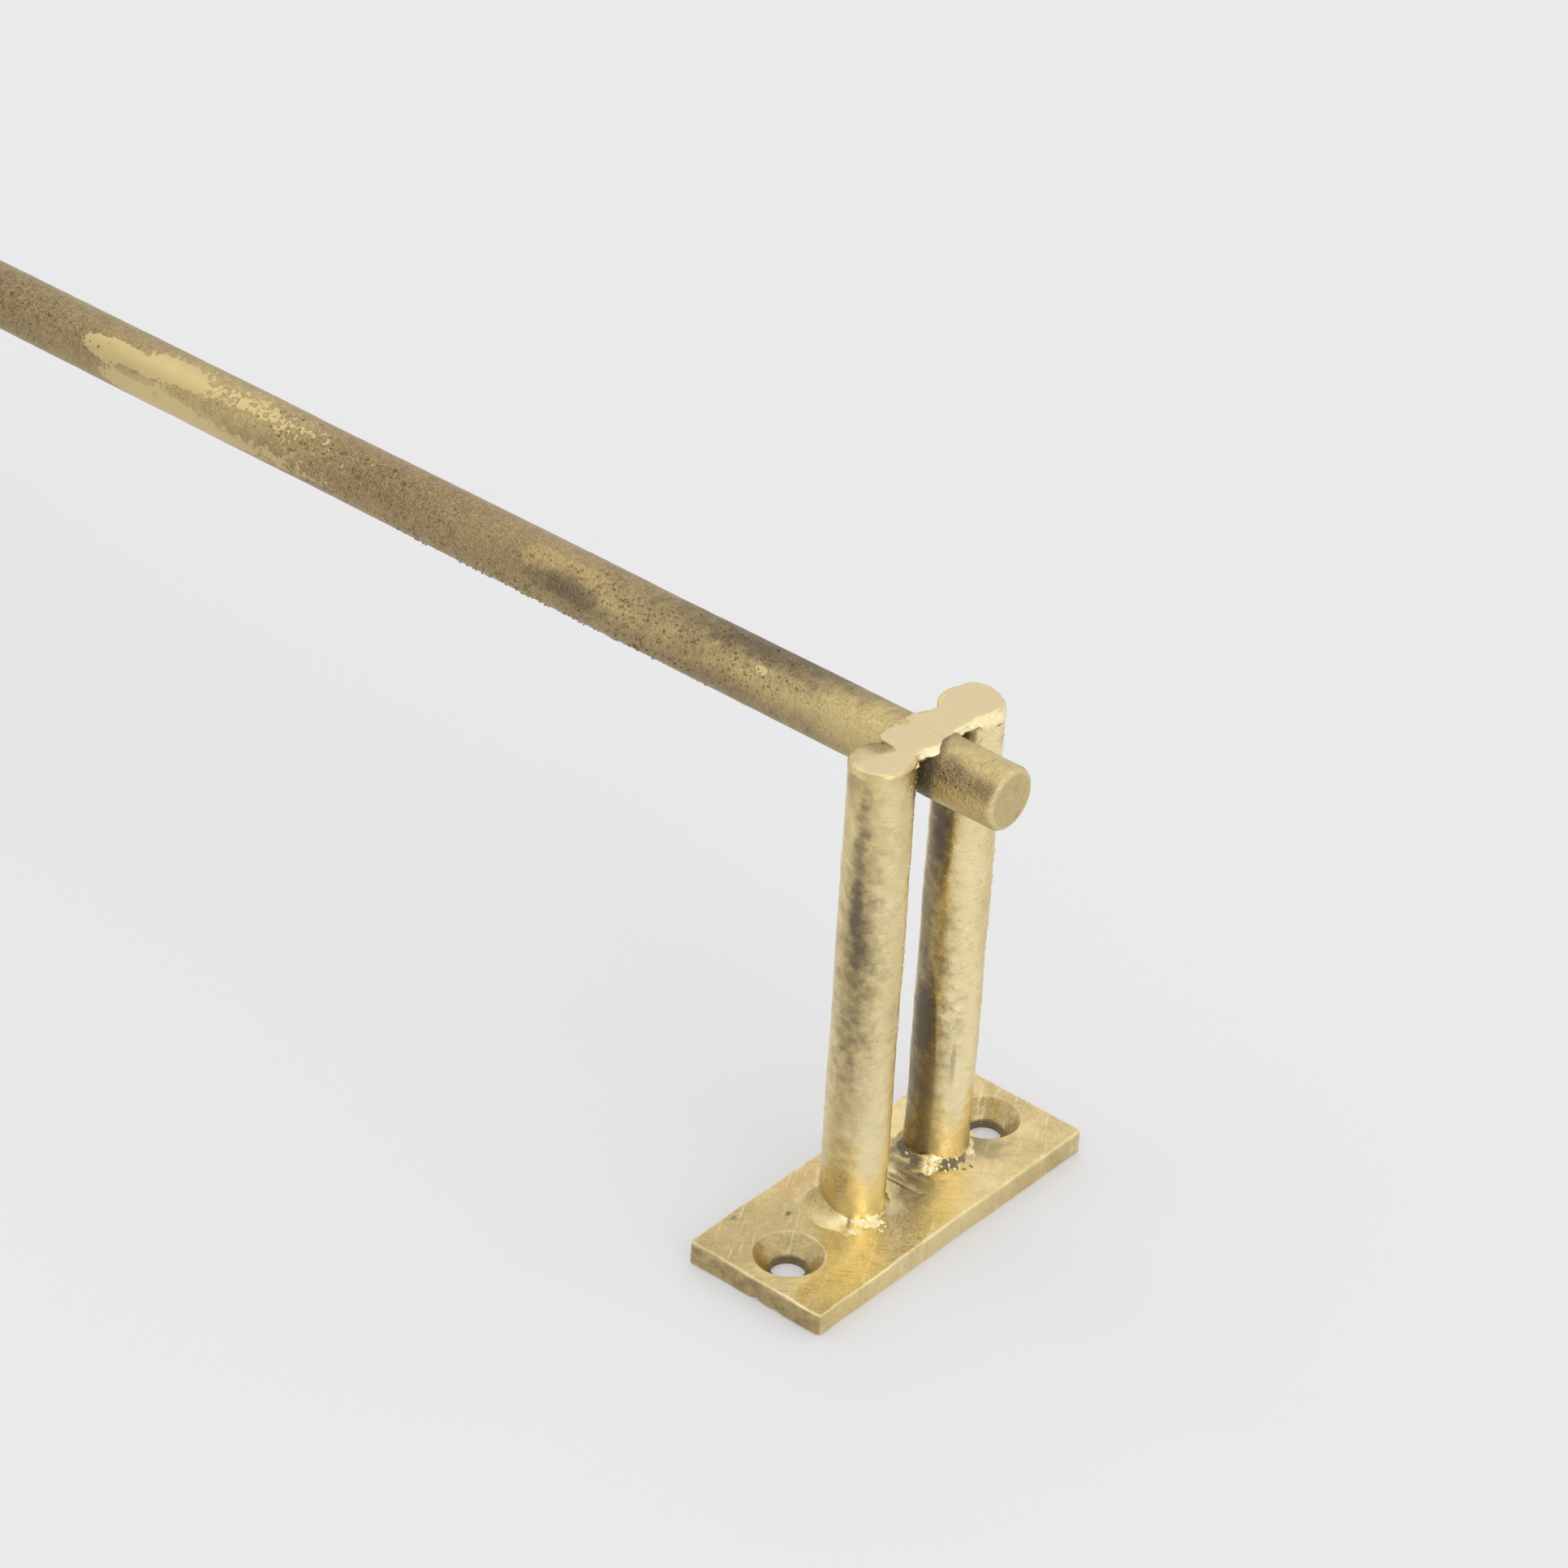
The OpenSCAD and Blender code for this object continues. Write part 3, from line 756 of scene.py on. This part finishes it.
def plateOutline(width, length, corner, inset):  # half of the plate's edge, from the middle round one hole
    halfWidth, halfLength = width / 2 - inset, length / 2 - inset
    sideShare = np.linspace(0, 1, plateWork["perSide"], endpoint=False)
    sideShare = 0.7 * sideShare + 0.3 * (1 - np.cos(math.pi * sideShare)) / 2
    endShare = np.linspace(0, 1, plateWork["perEnd"], endpoint=False)
    endShare = 0.7 * endShare + 0.3 * (1 - np.cos(math.pi * endShare)) / 2
    up = np.stack([np.full(len(sideShare), -halfWidth), sideShare * halfLength], axis=-1)
    over = np.stack([-halfWidth + 2 * halfWidth * endShare, np.full(len(endShare), halfLength)], axis=-1)
    down = np.stack([np.full(len(sideShare), halfWidth), (1 - sideShare) * halfLength], axis=-1)
    back = np.stack([halfWidth - 2 * halfWidth * endShare, np.zeros(len(endShare))], axis=-1)
    loop = np.concatenate([up, over, down, back])
    radius = max(corner - inset, 0.05)
    reach = np.array([halfWidth - radius, halfLength - radius])
    beyond = np.abs(loop) - reach
    cornered = (beyond[:, 0] > 0) & (beyond[:, 1] > 0)
    distance = np.maximum(np.hypot(beyond[:, 0], beyond[:, 1]), 1e-6)
    pulled = np.sign(loop) * (reach + beyond / distance[:, None] * radius)
    return np.where(cornered[:, None], pulled, loop)


# rings from the hole's foot up its wall, out over the top, down the side and back underneath
def halfPlate(width, length, thick, holeRadius, holeY):
    work = plateWork
    outer = plateOutline(width, length, work["cornerRadius"], 0)
    hole = np.array([0, holeY])
    spoke = (outer - hole) / np.linalg.norm(outer - hole, axis=1)[:, None]
    sinkDepth = work["countersink"] - holeRadius
    bevel = work["edgeBevel"]

    def circle(radius, z):
        return np.concatenate([hole + spoke * radius, np.full((len(outer), 1), z)], axis=1)

    def level(inset, z):
        flat = plateOutline(width, length, work["cornerRadius"], inset)
        return np.concatenate([flat, np.full((len(outer), 1), z)], axis=1)

    # each ring carries its painted edge highlight, laid on the countersink's rim and round the edge bevel
    rings = [(circle(holeRadius, z), 0.0) for z in np.linspace(0, thick - sinkDepth, 5)]
    for share in np.linspace(0.12, 0.95, 8):
        rings.append((circle(holeRadius + sinkDepth * share, thick - sinkDepth * (1 - share)), 0.0))
    rings.append((circle(work["countersink"] + 0.08, thick), 0.35))
    rim = circle(work["countersink"] + 0.35, thick)
    inner = level(bevel + 0.3, thick)
    for share in np.linspace(0, 1, work["topRings"]):
        rings.append((rim + (inner - rim) * share, 0.0))
    for inset, drop, mark in ((1, 0.0, 0.4), (0.55, 0.18, 0.8), (0.2, 0.55, 0.8), (0, 1, 0.4)):
        rings.append((level(inset * bevel, thick - drop * bevel), mark))
    for share in np.linspace(0.12, 0.9, 7):
        rings.append((level(0, thick - bevel - (thick - bevel - 0.25) * share), 0.0))
    rings.append((level(0, 0.25), 0.2))
    rings.append((level(0.25, 0), 0.2))
    under, lip = rings[-1][0], circle(holeRadius + 0.3, 0)
    for share in np.linspace(0.1, 1, 9):
        rings.append((under + (lip - under) * share, 0.0))
    mark = np.repeat(np.array([ring[1] for ring in rings])[:, None], len(outer), axis=1)
    return np.array([ring[0] for ring in rings]), mark


def filePlate(x, y, z, centre, size, seed):  # how far each point is pushed by the maker's file
    work = plateWork
    fromSide = size[0] / 2 - np.abs(x - centre[0])
    fromEnd = size[1] / 2 - np.abs(y - centre[1])
    atSide, atEnd = ramp(-fromSide, -1.2, -0.2), ramp(-fromEnd, -1.2, -0.2)
    right, far = np.sign(x - centre[0]), np.sign(y - centre[1])
    along = np.stack([y, z * 0.2, 50 * right], axis=-1)
    across = np.stack([x, z * 0.2, 50 * far], axis=-1)
    pushX = right * atSide * (work["fileWave"] * layered(along, 11, seed) - 0.08)
    pushY = far * atEnd * (work["fileWave"] * layered(across, 9, seed + 5) - 0.05)
    # a torn lower edge on the near end
    torn = ramp(-z, -1.1, -0.3) * ramp(-np.abs(x - 3.8), -3.6, -2.4) * (far < 0) * atEnd
    pushY = pushY + torn * (0.35 + 0.4 * lumps(across, 1.3, seed + 12))
    rise = work["topWave"] * layered(np.stack([x, y, 0 * x], axis=-1), 8, seed + 9)
    between = ramp(-np.abs(x - 1.5), -5.2, -3.8)
    for place, halfWidth, depth in work["troughs"]:
        rise = rise - depth * np.exp(-((y - place - 0.05 * x) / halfWidth) ** 2) * between
    # filed a little lower at the near outer corner, ending in a rounded step
    rise = rise - 0.22 * ramp(-y, 17.3 - 0.12 * (x - 9), 17.8 - 0.12 * (x - 9)) * ramp(x, 7, 10)
    return pushX, pushY, np.maximum(rise, -0.6) * ramp(z, size[2] - 0.6, size[2] - 0.1)


def makePlate(end):
    bracket = brackets[end]
    node = end + "_foot_plate"
    low, high = boxMm(node)
    work = plateWork
    mount = next(m for m in record["mounts"] if m["name"] == end + "_screw_holes")
    holeRadius = mount["dims"]["hole_r_mm"]
    holeY = mount["dims"]["spacing_y_mm"] / 2
    size = high - low
    half, mark = halfPlate(size[0], size[1], size[2], holeRadius, holeY)
    other = half * np.array([1, -1, 1])  # the second half is the first one turned over the middle line
    rows, around = half.shape[:2]
    points = np.concatenate([half.reshape(-1, 3), other.reshape(-1, 3)])
    edges = np.concatenate([mark.ravel(), mark.ravel()])
    faces = []
    for turn, offset in ((1, 0), (-1, rows * around)):
        for i in range(rows):
            for j in range(around):
                k, n = (j + 1) % around, (i + 1) % rows
                quad = [offset + i * around + j, offset + i * around + k, offset + n * around + k,
                        offset + n * around + j]
                if max(abs(points[v][1]) for v in quad) > 1e-6:
                    faces.append(quad[::turn])
    middle = (low + high) / 2
    centre = np.array([(middle[0] - bracket["x"]) * bracket["outward"], middle[1] - bracket["y"]])
    points[:, :2] += centre
    x, y, z = points.T
    pushX, pushY, rise = filePlate(x, y, z, centre, size, work["seed"] + bracket["outward"])
    x, y, z = x.copy(), y.copy(), z.copy()
    points += np.stack([pushX, pushY, rise], axis=-1)

    def flatField(places):
        field = np.full(len(x), -1.0)
        for cx, cy, hx, hy, strength in places:
            field = np.maximum(field, (1 - np.hypot((x - cx) / hx, (y - cy) / hy)) * strength)
        return field

    marks = paintMarks(work, flatField, x)
    # painted highlight along the plate's edge bevel and countersink rims, broken up by noise
    marks["edge"] = edges * ramp(layered(points, 3.5, 77), -1.2, 0.6)
    nearEndFace = (y < centre[1] - size[1] / 2 + 0.3) & (z < size[2] - 0.2)  # the near end face is painted browner and a little darker
    marks["tarnish"] = np.where(nearEndFace, 0.9, marks["tarnish"])
    marks["dark"] = np.where(nearEndFace, -0.14, marks["dark"])
    filed = (x > centre[0] + size[0] / 2 - 0.3) & (z < size[2] - 0.2)
    marks["bright"] = np.where(filed, 0.5 * ramp(-np.abs(y + 6), -20, -8) - 0.25, marks["bright"])
    farHole = np.hypot(x - centre[0], y - centre[1] - holeY)
    nearHole = np.hypot(x - centre[0], y - centre[1] + holeY)
    fromHole = np.minimum(farHole, nearHole)
    inSink = fromHole < work["countersink"]
    inHole = fromHole < holeRadius + 0.15
    # painted shade darkens the bore, and more lightly the countersink, which is also browned with tarnish
    marks["dark"] = np.where(inHole, 0.7, np.where(inSink, -0.27, marks["dark"]))
    marks["freshAndLit"] = np.where(inSink, 0.1, marks["freshAndLit"])
    marks["tarnish"] = np.where(inSink, 0.9, marks["tarnish"])
    piece = finishMesh(end + "FootPlate", toBracket(points, bracket), faces, marks)
    tidy = bmesh.new()
    tidy.from_mesh(piece.data)
    bmesh.ops.remove_doubles(tidy, verts=tidy.verts, dist=0.01 * mm)
    bmesh.ops.recalc_face_normals(tidy, faces=tidy.faces)
    tidy.to_mesh(piece.data)
    tidy.free()
    piece.data.set_sharp_from_angle(angle=math.radians(work["sharpAngle"]))
    keep(piece, node, plateBrass)


for end in brackets:
    makePlate(end)
print("foot plates made")


# braze round the posts' feet

collarWork = {
    "around": 132, "steps": 16, "sink": 0.25, "lumpSize": 1.5, "waveSize": 4.0,
    "seed": 90, "sharpAngle": 60,
    "crumbs": {"perSquare": 0.3, "size": 0.42, "shine": 1.2},
    # round the post: bearing, spread, climb, lumpiness
    "front": [(-180, 2.4, 2.4, 0.05), (-130, 4.0, 5.0, 0.0), (-100, 4.2, 4.4, 0.0), (-80, 4.2, 3.2, 0.0),
              (-64, 4.0, 2.2, 0.15), (-52, 3.8, 1.9, 0.9), (-35, 3.7, 1.8, 1.0), (-5, 3.4, 1.7, 1.0),
              (15, 2.6, 1.4, 0.9), (32, 1.6, 1.0, 0.4), (100, 2.2, 2.2, 0.1)],
    "rear": [(-180, 1.6, 3.0, 0.1), (-120, 2.4, 3.0, 0.5), (-95, 3.0, 2.8, 0.6), (-58, 4.6, 3.4, 0.6),
             (-42, 4.2, 2.2, 1.0), (-20, 3.9, 2.0, 1.0), (5, 2.6, 1.6, 0.9), (40, 1.6, 1.8, 0.2),
             (110, 2.0, 2.2, 0.1)],
    # marks: bearing, half sweep, lower and upper height, strength
    "frontMarks": {"dark": [(-55, 3, 0.2, 1.2, 0.5)],
                   "freshAndLit": [(-18, 36, -0.5, 2.4, 2.0), (-66, 20, -0.6, 1.4, 0.5)],
                   "tarnish": [(-124, 40, -1, 6, 0.5), (150, 60, -1, 6, 0.6), (34, 22, -1, 4, 0.6)]},
    "rearMarks": {"dark": [(-114, 20, 0.2, 2.6, 1.2), (-20, 28, -0.9, 1.1, 2.0), (-86, 8, -0.4, 1.0, 0.6)],
                  "freshAndLit": [(-57, 12, -0.8, 3.8, 2.6), (-24, 42, 1.1, 3.4, 2.6), (50, 40, 0, 3, 0.6)],
                  "dull": [(-144, 36, -0.4, 4.5, 1.4)],
                  "tarnish": [(-88, 12, 0.2, 2.8, 0.9), (-150, 50, -0.3, 1.2, 0.6)]}}


def makeCollar(end, side):
    bracket = brackets[end]
    node = end + "_" + side + "_foot_braze"
    low, high = boxMm(node)
    work = collarWork
    sideSign = 1 if side == "rear" else -1
    centreY = sideSign * bracket["postOut"]
    seed = work["seed"] + 5 * sideSign + bracket["outward"]
    inside = bracket["postRadius"]
    angle = np.linspace(0, 2 * math.pi, work["around"], endpoint=False)
    table = np.array(work[side])
    wide, tall, lumpy = (
        np.interp(np.degrees(angle), table[:, 0], table[:, i], period=360) for i in (1, 2, 3))
    spots = np.stack([inside * np.cos(angle), inside * np.sin(angle), 0 * angle], axis=-1)
    wide = wide * (1 + (0.06 + 0.14 * lumpy) * layered(spots, work["waveSize"], seed))
    tall = tall * (1 + (0.06 + 0.2 * lumpy) * layered(spots, work["waveSize"], seed + 4))
    rings = []
    for share in np.linspace(0, 1, work["steps"] + 1):
        climb = share * math.pi / 2
        radius = inside - 0.3 + (wide + 0.3) * (1 - math.sin(climb))
        height = low[2] - work["sink"] + (tall + work["sink"]) * (1 - math.cos(climb))
        ring = np.stack([radius * np.cos(angle), centreY + radius * np.sin(angle), height], axis=-1)
        proud = 0.4 * lumpy * layered(ring, work["lumpSize"], seed + 8) * math.sin(math.pi * share ** 0.7)
        ring[:, 0] += proud * np.cos(angle)
        ring[:, 1] += proud * np.sin(angle)
        ring[:, 2] += np.maximum(proud, -0.25)
        rings.append(ring)
    points = np.array(rings)
    degrees = np.broadcast_to(np.degrees(angle), points.shape[:2])
    above = points[..., 2] - low[2]

    def roundField(places):
        field = np.full(above.shape, -1.0)
        for bearing, halfSweep, bottom, top, strength in places:
            turn = np.abs((degrees - bearing + 180) % 360 - 180) / halfSweep
            lift = np.abs(above - (bottom + top) / 2) / (top - bottom) * 2
            field = np.maximum(field, (1 - np.maximum(turn, lift ** 2)) * strength)
        return field

    marks = paintMarks(work[side + "Marks"], roundField, above)
    busy = np.broadcast_to(ramp(lumpy, 0.4, 0.9), above.shape)
    marks["pitted"] = busy
    marks["crumbs"] = busy
    poles = np.array([[0, centreY, low[2] - work["sink"]], [0, centreY, points[-1, :, 2].mean()]])
    name = end + "FootBraze" + side.capitalize()
    piece = loft(name, toBracket(points, bracket), toBracket(poles, bracket), marks, work["sharpAngle"])
    addCrumbs(piece, work["crumbs"], seed, brazeBrass)
    keep(piece, node, brazeBrass)


for end in brackets:
    for side in ("front", "rear"):
        makeCollar(end, side)
print("foot brazes made")


# braze in the valleys beside the rail, dressed flat with the crest and the posts' tops

saddleWork = {
    # outline of the dressed land: distance from the rail's centre line, inner edge, outer edge
    "rear": [(0, -4.8, 3.9), (1.2, -4.6, 3.5), (2.4, -4.2, 2.9), (4.3, -3.2, 2.8), (5.9, -3.0, 3.0),
             (8.2, -4.0, 3.3), (9.7, -4.3, 3.6), (10.9, -4.4, 3.9), (12.2, -4.4, 4.1), (13.4, -4.2, 3.3),
             (14.3, -3.7, 2.2), (14.9, -2.9, 1.2), (15.2, -1.6, 0.2), (15.3, -0.9, -0.4)],
    "front": [(0, -4.8, 3.9), (1.5, -4.8, 3.8), (3.0, -4.6, 3.4), (4.5, -4.4, 2.8), (5.8, -4.2, 2.9),
              (6.5, -3.4, 3.2), (7.0, -0.4, 3.6), (7.6, 0.2, 4.0), (8.6, -0.3, 4.4), (10.6, -1.1, 4.5),
              (12.2, -1.7, 4.2), (13.2, -2.1, 3.6), (14.0, -1.2, 2.6), (14.6, 0.4, 1.2)],
    "rows": 84, "topPoints": 16, "skinDepth": 1.1, "wedgeDepth": 2.4, "lipDrop": 0.45, "round": 0.3,
    "seed": 120, "sharpAngle": 50,
    "crumbs": {"perSquare": 0.25, "size": 0.3, "shine": 1.2},
    # the bead left along the outer edge: distance from the centre line, how far it swells out
    "frontBead": [(1.2, 0.0), (2.2, 1.3), (4.5, 1.3), (7.0, 0.9), (8.6, 0.5), (9.4, 0.0)],
    "rearBead": [(2.0, 0.0), (3.4, 0.7), (7.0, 0.9), (9.6, 0.9), (10.8, 0.3), (11.5, 0.0)]}


def landSection(a, b, valley, swell):  # across the land: place, drop from the top, edge (its painted highlight), bare, fresh
    work = saddleWork
    bead = min(1, swell * 2.5)
    tight = min(work["round"], (b - a) * 0.3)
    lip = work["lipDrop"]
    depth = work["skinDepth"] + (work["wedgeDepth"] - work["skinDepth"]) * valley
    lowLeft = a + tight + 0.9 + 0.5 * valley
    lowRight = b - tight - 0.3 - 0.6 * valley
    if lowRight - lowLeft < 0.2:
        lowLeft, lowRight = (a + b) / 2 - 0.1 * (b - a), (a + b) / 2 + 0.1 * (b - a)
    section = []
    for place in np.linspace(a + 1.3 * tight, b - 1.3 * tight, work["topPoints"]):
        section.append((place, 0.0, 0.0, 1.0, -1.0))
    section.append((b - tight * 0.6, -0.05, 0.5, 0.3, bead - 0.5))
    section.append((b - tight * 0.15 + 0.1 * bead, -0.2, 0.7, -0.5, bead))
    section.append((b + 0.25 * bead, -lip, 0.3, -1, bead))
    for share in np.linspace(0.1, 1, 10):
        belly = swell * math.sin(math.pi * min(1, share * 1.35)) ** 0.7
        place = b + (lowRight - b) * share ** 1.5 + belly
        section.append((place, -lip - (depth - lip) * share, 0.0, -1, bead * (2.2 - 2.6 * share)))
    for share in (0.33, 0.67):
        section.append((lowRight + (lowLeft - lowRight) * share, -depth, 0.0, -1, -1.0))
    for share in np.linspace(1, 0.2, 6):
        section.append((a + (lowLeft - a) * share ** 1.5, -lip - (depth - lip) * share, 0.0, -1, -0.5))
    section.append((a, -lip, 0.1, -1, -0.5))
    section.append((a + tight * 0.15, -0.2, 0.25, -0.5, -0.5))
    section.append((a + tight * 0.6, -0.05, 0.25, 0.3, -0.5))
    return section


def makeSaddle(end, side):
    bracket = brackets[end]
    node = end + "_" + side + "_valley_braze"
    work = saddleWork
    sideSign = 1 if side == "rear" else -1
    seed = work["seed"] + 5 * sideSign + bracket["outward"]
    outline = np.array(work[side])
    share = np.sin(np.linspace(0, math.pi / 2, work["rows"]))
    out = share * outline[-1, 0]
    left = np.interp(out, outline[:, 0], outline[:, 1])
    right = np.interp(out, outline[:, 0], outline[:, 2])
    fade = ramp(out, 0, 1.0) * (1 - share ** 6)
    line = np.stack([out, 0 * out, 0 * out], axis=-1)
    left = left + 0.08 * layered(line, 1.8, seed) * fade
    right = right + 0.12 * layered(line, 1.8, seed + 3) * fade
    inValley = ramp(out, 0.5, 1.6) * ramp(-out, -8.2, -6.6)
    table = np.array(work[side + "Bead"])
    swell = np.interp(out, table[:, 0], table[:, 1]) * (1 + 0.3 * lumps(line, 1.2, seed + 5))
    bead = np.minimum(1, swell * 2.5)
    sections = np.array([landSection(*row) for row in zip(left, right, inValley, swell)])
    place, drop, edge, bare, freshAndLit = np.moveaxis(sections, -1, 0)
    top = bracket["top"]
    away = np.repeat(sideSign * out[:, None], place.shape[1], axis=1)
    points = np.stack([place, away, top + 0.03 + drop], axis=-1)
    lower = ramp(-drop, 0.1, 0.7)
    busy = lower * ramp(points[..., 0], 1.5, 2.5) * np.maximum(inValley, bead)[:, None]
    points[..., 0] += 0.2 * layered(points, 1.6, seed + 6) * lower * inValley[:, None]
    ripple = 0.012 * lumps(points, 4.0, seed + 9) * (1 - lower)
    points[..., 2] += ripple + 0.12 * busy * lumps(points, 1.1, seed + 2)
    ends = np.array([[points[0, :, 0].mean(), 0, top - 0.5],
                     [points[-1, :, 0].mean(), sideSign * (out[-1] + 0.02), top - 0.3]])
    # painted shade: the braze deep in the valley, more than a millimetre below the land, is darkened as a
    # shaded cavity
    deep = ramp(-drop, 1.0, 1.5)
    streak = 0.9 + 1.3 * layered(points * np.array([0.25, 1, 0]), 0.8, seed + 11)
    # inwards the land thins out in streaks over the rail's crest
    runOut = ramp(-points[..., 0], 3.7 - 2.8 * ramp(streak, 0, 2), 4.7)
    runOut = runOut * ramp(-np.abs(points[..., 1]), -4.5, -3.0)
    tarnish = -1 + 1.6 * lower * (1 - bead[:, None]) + 1.5 * runOut * (1 - lower)
    marks = paintMarks({}, lambda places: np.full(drop.shape, -1.0), drop)
    # the edge mark along the land's lip is painted highlight
    marks.update({"bright": bare - 2.3 * runOut * (1 - lower), "freshAndLit": freshAndLit, "edge": edge * 0.8,
                  "dark": -1 + 2.0 * deep, "tarnish": tarnish, "pitted": busy * 0.5,
                  "crumbs": busy * (1 - deep)})
    name = end + "ValleyBraze" + side.capitalize()
    piece = loft(name, toBracket(points, bracket), toBracket(ends, bracket), marks, work["sharpAngle"])
    addCrumbs(piece, work["crumbs"], seed, brazeBrass)
    keep(piece, node, brazeBrass)


for end in brackets:
    for side in ("front", "rear"):
        makeSaddle(end, side)
print("valley brazes made")


# floor, light and camera

studio = {
    "floorReach": 3.0, "floorColour": (0.57, 0.57, 0.58, 1), "floorGlow": 0.205,
    "skyTop": (1.10, 1.10, 1.10, 1), "skySide": (0.92, 0.92, 0.935, 1), "skyOpen": (0.78, 0.77, 0.76, 1),
    "openTowards": (0.25, -0.96, 0.10), "skyStrength": 1.0,
    # soft boxes: place from the right posts' foot, width and height, power in watts
    "boxes": {"overheadSoftBox": ((-0.5, -0.2, 1.1), (1.0, 1.0), 0.6),
              "sideSoftBox": ((1.2, -0.45, 0.5), (0.7, 0.9), 2.2)}}


def makeFloor():
    reach = studio["floorReach"]
    corners = [(-reach, -reach, 0), (reach, -reach, 0), (reach, reach, 0), (-reach, reach, 0)]
    mesh = bpy.data.meshes.new("floor")
    mesh.from_pydata(corners, [], [(0, 1, 2, 3)])
    floor = bpy.data.objects.new("floor", mesh)
    bpy.context.scene.collection.objects.link(floor)
    paint = bpy.data.materials.new("paleTable")
    paint.use_nodes = True
    tree = paint.node_tree
    shader = tree.nodes["Principled BSDF"]
    shader.inputs["Roughness"].default_value = 0.6
    shader.inputs["Specular IOR Level"].default_value = 0.2
    shader.inputs["Emission Color"].default_value = (1, 1, 1, 1)
    shader.inputs["Emission Strength"].default_value = studio["floorGlow"]
    where = put(tree, "ShaderNodeTexCoord").outputs["Object"]
    haze = put(tree, "ShaderNodeTexNoise", Vector=where, Scale=9.0, Detail=3.0).outputs["Fac"]
    low = tuple(0.992 * c for c in studio["floorColour"][:3]) + (1,)
    tree.links.new(tint(tree, haze, low, studio["floorColour"]), shader.inputs["Base Color"])
    mesh.materials.append(paint)


def makeSky():
    world = bpy.data.worlds.new("studioWhite")
    bpy.context.scene.world = world
    world.use_nodes = True
    tree = world.node_tree
    tree.nodes.clear()
    where = put(tree, "ShaderNodeTexCoord").outputs["Generated"]
    up = put(tree, "ShaderNodeSeparateXYZ", Vector=where).outputs["Z"]
    share = soften(tree, up, 0.0, 0.9)
    colour = tint(tree, share, studio["skySide"], studio["skyTop"])
    # the white tent is open on the near side, so less light comes from there
    near = put(tree, "ShaderNodeVectorMath", {"operation": "DOT_PRODUCT"},
               in0=where, in1=studio["openTowards"])
    colour = tint(tree, soften(tree, near.outputs["Value"], 0.35, 1.0), colour, studio["skyOpen"])
    sky = put(tree, "ShaderNodeBackground", Color=colour, Strength=studio["skyStrength"])
    out = put(tree, "ShaderNodeOutputWorld")
    tree.links.new(sky.outputs[0], out.inputs["Surface"])


def makeSoftBox(name, place, target, size, power):
    lamp = bpy.data.lights.new(name, "AREA")
    lamp.shape = "RECTANGLE"
    lamp.size, lamp.size_y = size
    lamp.energy = power
    box = bpy.data.objects.new(name, lamp)
    box.location = place
    box.rotation_mode = "QUATERNION"
    box.rotation_quaternion = (Vector(target) - Vector(place)).to_track_quat("-Z", "Y")
    bpy.context.scene.collection.objects.link(box)


makeFloor()
makeSky()
rightPosts = Vector((brackets["right"]["x"], brackets["right"]["y"], 0)) * mm
for name, (place, size, power) in studio["boxes"].items():
    makeSoftBox(name, rightPosts + Vector(place), rightPosts, size, power)

view = {
    "azimuth": 38.67, "elevation": 33.42, "roll": 3.38, "lens": 121.1,
    "sideways": 16.42, "down": 62.19, "away": 798.6}  # the posts' foot from the lens, in mm


def makeCamera():
    az, el, roll = (math.radians(view[key]) for key in ("azimuth", "elevation", "roll"))
    back = Vector((math.sin(az) * math.cos(el), -math.cos(az) * math.cos(el), math.sin(el)))
    right = Vector((math.cos(az), math.sin(az), 0))
    up = back.cross(right)
    tiltedRight = math.cos(roll) * right + math.sin(roll) * up
    tiltedUp = -math.sin(roll) * right + math.cos(roll) * up
    fromFoot = -view["sideways"] * tiltedRight + view["down"] * tiltedUp + view["away"] * back
    spot = rightPosts + fromFoot * mm
    lens = bpy.data.cameras.new("tableCamera")
    lens.lens = view["lens"]
    lens.sensor_width = 36
    lens.clip_start = 0.05
    lens.clip_end = 20
    camera = bpy.data.objects.new("tableCamera", lens)
    turn = Matrix((tiltedRight, tiltedUp, back)).transposed().to_4x4()
    camera.matrix_world = Matrix.Translation(spot) @ turn
    bpy.context.scene.collection.objects.link(camera)
    bpy.context.scene.camera = camera


makeCamera()
bpy.context.scene.view_settings.view_transform = "Standard"
print("studio ready")

bpy.context.view_layer.update()
